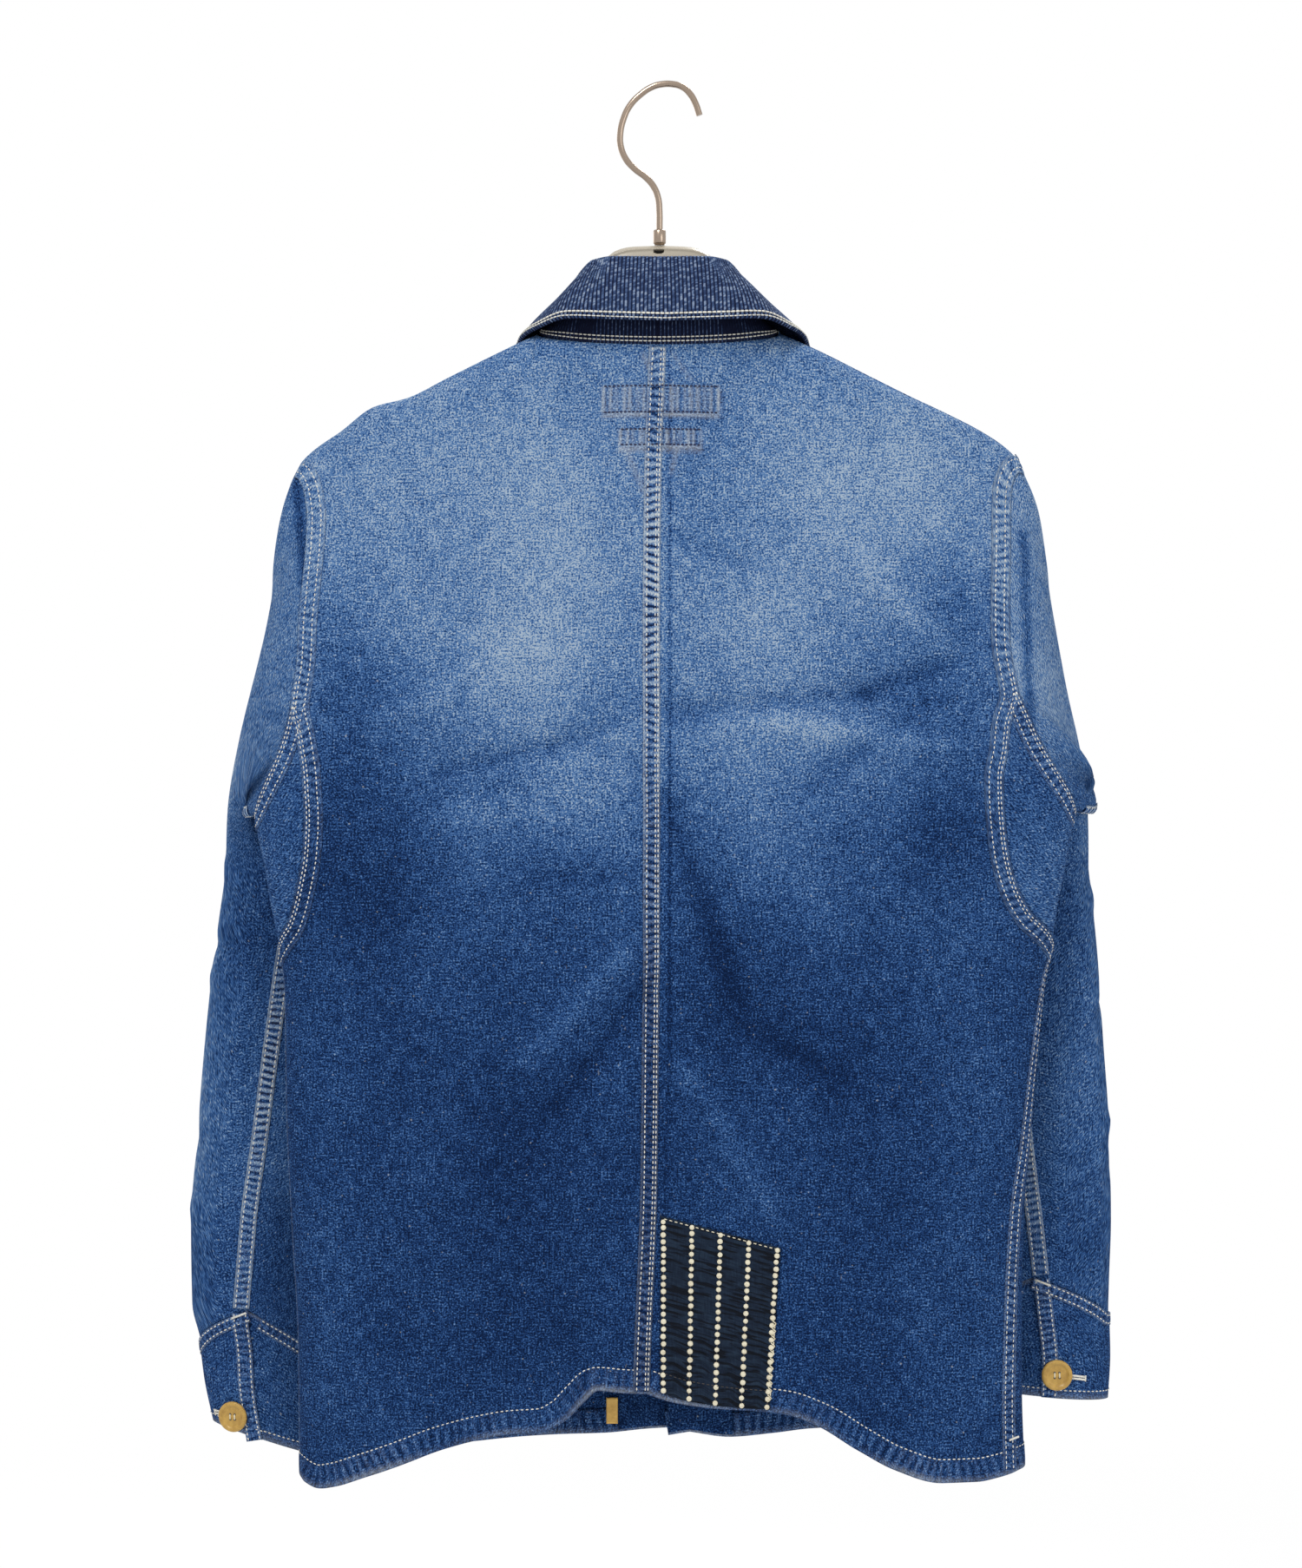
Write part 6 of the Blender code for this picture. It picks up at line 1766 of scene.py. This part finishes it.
# ---------------------------------------------------------------- small details
BAR_LIFT = 0.0019
BAR_PITCH = 0.00055
BUTTONHOLE_SIDE = 0.0009     # how far each of its two edges is from its middle
CUFF_RADIUS = 0.047          # about, to turn the buttonhole's length into degrees
DOT_COLUMNS = [0.025, 0.262, 0.500, 0.738, 0.972]        # places across the patch
DOT_LIFT = PATCH_LIFT + 0.0007
EDGE_LIFT = PATCH_LIFT + 0.0011
CROSS_LIFT = PATCH_LIFT + 0.0012
HOLE_OUT = 0.0016            # a button's holes, from its middle


def bar(thread, surface, u, v, down, length, width, pitch=BAR_PITCH):
    """A short thick bar of close stitches, down or across: a bar tack or a buttonhole's end."""
    point, by_u, by_v, normal = surface.frame(np.array([u]), np.array([v]))
    way = unit(by_v if down else by_u)
    places = point + way * np.arange(-0.5 * length, 0.5 * length, pitch)[:, None] + normal * BAR_LIFT
    across, up = (np.repeat(each, len(places), 0) for each in (np.cross(normal, way), normal))
    thread.add(BEAD, places, across, up, width, pitch * 1.15, 0.0008)


def patch_row(thread, across, part, pitch, length, width):
    """A row of stitches on the patch."""
    across, part = np.broadcast_arrays(np.asarray(across, float), np.asarray(part, float))
    thread.row(*patch(across, part, EDGE_LIFT), pitch, length=length, width=width)


def make_patch_details(cream, dark):
    """Five columns of round dots, the threads between them, and what holds the patch on."""
    dot_thread, link_thread, edge_thread = Thread(), Thread(), Thread()
    for number, across in enumerate(DOT_COLUMNS):
        part = even(0.018 if number else 0.03, 0.985, 0.02)
        points, normals = patch(np.full(part.shape, across), part, DOT_LIFT)
        run = run_along(points)
        count = 24 - number // 3
        at = (np.arange(count) / (count - 1)) ** 1.06 * run[-1]
        at[1:-1] += CHANCE.uniform(-0.0003, 0.0003, count - 2)
        places, up = read_path(at, run, points), unit(read_path(at, run, normals))
        along = unit(np.gradient(places, axis=0))
        places[:, 0] += CHANCE.uniform(-0.0002, 0.0002, count)
        radius = CHANCE.uniform(0.0016, 0.00185, count)
        dot_thread.add(DOT, places, along, up, radius, radius, 0.0008)
        middle = 0.5 * (places[1:] + places[:-1])
        link_thread.add(BEAD, middle, along[1:], up[1:], 0.0022, 0.0008, 0.0008)
    patch_row(edge_thread, even(0.02, 0.985, 0.02), 0.012, 0.0034, 0.0023, 0.0007)
    patch_row(edge_thread, 0.994, even(0.46, 0.93, 0.02), 0.0052, 0.0030, 0.0008)
    for lean in (-1.0, 1.0):
        part = np.arange(0.47, 0.93, 0.046) + 0.011 * lean
        points, normals = patch(np.full(part.shape, 0.988), part, CROSS_LIFT)
        along = unit(np.array([1.0, 0.0, 0.9 * lean]) - normals * normals[:, :1])
        edge_thread.add(BEAD, points, along, normals, 0.0040, 0.0008, 0.0007)
    patch_row(link_thread, even(0.03, 0.97, 0.02), 0.885, 0.0030, 0.0022, 0.0006)
    dot_thread.make("patch_dots", "dotted_cloth", cream)
    edge_thread.make("patch_stitches", "dotted_cloth", cream)
    link_thread.make("patch_links", "dotted_cloth", dark)


def make_label_stitches(navy):
    """The rows of navy stitches where a label is sewn in at the neck. The label isn't built."""
    thread = Thread()
    for label in LABELS:
        for drop in (label.top, label.foot):
            for first, last, side in ((label.left, -0.0004, "left"), (0.0004, label.right, "right")):
                x = even(first, last, 0.002)
                u, v = find(side, "back", x, np.full(x.shape, drop))
                over_strip = 0.0013 * (np.abs(x + 0.0003) < 0.0062)
                lift = FLAT_ROW_LIFT + over_strip
                thread.row(*body_surface(side, "back").beside(u, v, 0.0, lift), width=0.0011)
    thread.make("label_stitches", "denim", navy)


def make_bars(thread):
    """Bar tacks at the cuffs' peaks and at the side seam's foot, and the worked buttonholes."""
    for side, (angle, drop) in CUFF_BUTTONS.items():
        surface = cuff_surface(side)
        bar(thread, surface, 6.5, 0.015, False, 0.0096, 0.0016)
        turned = SEAM_ANGLE[side] - angle
        upper = seam_drop(side, angle)
        part = (drop - upper) / (CUFF_END[side] - upper)
        radius = math.degrees(BUTTON_RADIUS / CUFF_RADIUS)
        end = turned + 2.05 * radius
        for aside in (-BUTTONHOLE_SIDE, BUTTONHOLE_SIDE):
            points, normals = surface.beside(even(turned + 0.2 * radius, end, 1.0), part, aside, 0.0014)
            places, along, up = resample(points, normals, BAR_PITCH)
            thread.add(BEAD, places, np.cross(up, along), up, 0.0016, 0.0007, 0.0010)
        bar(thread, surface, end, part, True, 0.0034, 0.0013)
    u, v = (float(place) for place in find("right", "back", 0.2258, 0.868))
    bar(thread, body_surface("right", "back"), u, v, False, 0.0080, 0.0016, 0.0006)


def make_button_details(sites, dark, pale):
    """The four holes of each button, as thin dark discs of painted shade, and the thread that holds it,
    in two bars.
    """
    hole_shadows, bars = Thread(), Thread()
    for place, normal in sites:
        up = np.array(normal, float)
        across = unit(np.cross(up, (0.0, 0.0, 1.0)))
        along = np.cross(across, up)
        base = np.array(place) + up * (BUTTON_GAP + BUTTON_DISH * BUTTON_HEIGHT)
        ends = (-HOLE_OUT, HOLE_OUT)
        spots = np.array([base + across * a + along * b for a in ends for b in ends])
        # thin dark discs of painted shade where the button's holes are
        hole_shadows.add(DOT, spots, *(np.tile(way, (4, 1)) for way in (along, up)), 0.00085, 0.00085, 0.00012)
        spots = np.array([base + across * a + up * 0.0003 for a in ends])
        bars.add(BEAD, spots, *(np.tile(way, (2, 1)) for way in (along, up)), 0.0042, 0.0010, 0.0009)
    hole_shadows.make("button_hole_shadows", "tan_button", dark)
    bars.make("button_threads", "tan_button", pale)


# ---------------------------------------------------------------- the room
CAMERA_DISTANCE = 2.3
VIEW_HEIGHT = 1.01136
CAMERA_PLACE = (-0.0095, -CAMERA_DISTANCE, -0.4494)
SENSOR = 36.0                # millimetres
WORLD_LIGHT = 0.55
FLOOR_NEAR = 0.7             # within this the floor shows the shadow, and beyond the next it is white
FLOOR_FAR = 2.2
Lamp = namedtuple("Lamp", "name x y z size power")
LAMPS = [
    Lamp("key", -1.0, -2.0, 2.2, 1.0, 52.0),
    Lamp("fill", 1.8, -2.2, 0.2, 1.6, 12.0),
    Lamp("front_key", 1.0, 2.0, 2.2, 1.0, 52.0),
    Lamp("front_fill", -1.8, 2.2, 0.2, 1.6, 12.0),
]


def seen_directly(tree):
    """1 for what the camera sees, also in a reflection or through glass, and 0 for light."""
    rays = add_node(tree, "LightPath")
    seen = rays.outputs["Is Camera Ray"]
    for name in ("Is Glossy Ray", "Is Transmission Ray"):
        largest = add_node(tree, "Math", {0: seen, 1: rays.outputs[name]}, operation="MAXIMUM")
        seen = largest.outputs[0]
    return seen


def make_floor():
    """A plain pale floor that whitens with distance, so that it has no edge."""
    bpy.ops.mesh.primitive_plane_add(size=14.0, location=(0.0, 0.0, -1.25))
    floor = bpy.context.object
    floor.name = "floor"
    s = Shading("floor", 0.9)
    s.shader.inputs["Base Color"].default_value = (0.88, 0.88, 0.88, 1.0)
    distance = s.node("VectorMath", {0: s.place()}, operation="LENGTH").outputs["Value"]
    share = s.times(s.step(distance, FLOOR_NEAR, FLOOR_FAR), seen_directly(s.tree))
    white = s.node("Emission").outputs["Emission"]
    blend = s.node("MixShader", {0: share, 1: s.shader.outputs["BSDF"], 2: white})
    put(s.tree, s.tree.nodes["Material Output"].inputs["Surface"], blend.outputs["Shader"])
    floor.data.materials.append(s.material)


def make_world():
    """A white background, which lights the scene less strongly than it looks."""
    world = bpy.data.worlds.new("studio")
    bpy.context.scene.world = world
    world.use_nodes = True
    tree = world.node_tree
    inputs = {"Value": seen_directly(tree), "To Min": WORLD_LIGHT, "To Max": 1.0}
    strength = add_node(tree, "MapRange", inputs)
    background = tree.nodes["Background"]
    put(tree, background.inputs["Strength"], strength.outputs["Result"])
    background.inputs["Color"].default_value = (1.0, 1.0, 1.0, 1.0)


def make_lamps():
    """Round soft lamps, aimed at the middle of the jacket."""
    for lamp in LAMPS:
        data = bpy.data.lights.new(lamp.name, "AREA")
        data.shape = "DISK"
        data.size = lamp.size
        data.energy = lamp.power
        item = bpy.data.objects.new(lamp.name, data)
        bpy.context.scene.collection.objects.link(item)
        item.location = (lamp.x, lamp.y, lamp.z)
        aim = Vector((0.0, 0.0, -0.45)) - item.location
        item.rotation_euler = aim.to_track_quat("-Z", "Y").to_euler()


def make_camera():
    """A camera straight behind the jacket, at the height and the width of view of the photo's."""
    data = bpy.data.cameras.new("camera")
    data.sensor_fit = "VERTICAL"
    data.sensor_height = SENSOR
    data.lens = SENSOR * CAMERA_DISTANCE / VIEW_HEIGHT
    camera = bpy.data.objects.new("camera", data)
    camera.location = CAMERA_PLACE
    camera.rotation_euler = (0.5 * math.pi, 0.0, 0.0)
    bpy.context.scene.collection.objects.link(camera)
    bpy.context.scene.camera = camera
    bpy.context.scene.view_settings.view_transform = "Standard"


# ---------------------------------------------------------------- everything together
# A record for the flat size of a piece of cloth as built, without seam allowances, in metres, and its
# area in square metres. No pieces are listed in it here.
Cut = namedtuple("Cut", "piece width length area held_by")

denim = denim_material("faded_denim")
sleeve_denim = denim_material("faded_sleeve_denim")
metal = metal_material()
ivory = thread_material("ivory_thread", (0.84, 0.82, 0.74), (0.56, 0.54, 0.48))
cream = thread_material("cream_thread", (0.80, 0.75, 0.58), (0.60, 0.52, 0.36))
brown = thread_material("brown_thread", (0.060, 0.050, 0.045), (0.025, 0.025, 0.030))
navy = thread_material("navy_thread", (0.012, 0.014, 0.060), (0.008, 0.010, 0.035))
on_the_body = Sewing(denim, "denim", Thread())
on_the_sleeves = Sewing(sleeve_denim, "sleeve_denim", Thread())
collar_thread = Thread()

for side in SIGN:
    for face in OUTWARD:
        make_panel(side, face, denim)
        make_hem(side, face, on_the_body)
    make_gusset(side, denim)
    make_sleeve(side, sleeve_denim)
    make_cuff(side, sleeve_denim)
    make_facing(side, denim)
make_collar(ribbed_material())
make_patch(patch_material())
strips.setdefault("front_left", []).append(make_hem_tab(leather_material()))
sites = make_buttons(button_material())
make_hanger_body(shell_material())
make_ferrule(metal)
make_hook(metal)
make_centre_seam(on_the_body)
for side in SIGN:
    make_body_seams(side, on_the_body)
for side in SIGN:
    make_sleeve_seams(side, on_the_sleeves)
for side in SIGN:
    make_neck_rows(side, on_the_body.thread)
for side in SIGN:
    make_front_rows(side, on_the_body.thread)
make_collar_rows(collar_thread)
make_bars(on_the_sleeves.thread)
make_patch_details(cream, brown)
make_label_stitches(navy)
make_button_details(sites, brown, cream)
on_the_body.thread.make("stitches_body", "denim", ivory)
on_the_sleeves.thread.make("stitches_sleeves", "sleeve_denim", ivory)
collar_thread.make("stitches_collar", "ribbed_cloth", ivory)
make_floor()
make_world()
make_lamps()
make_camera()
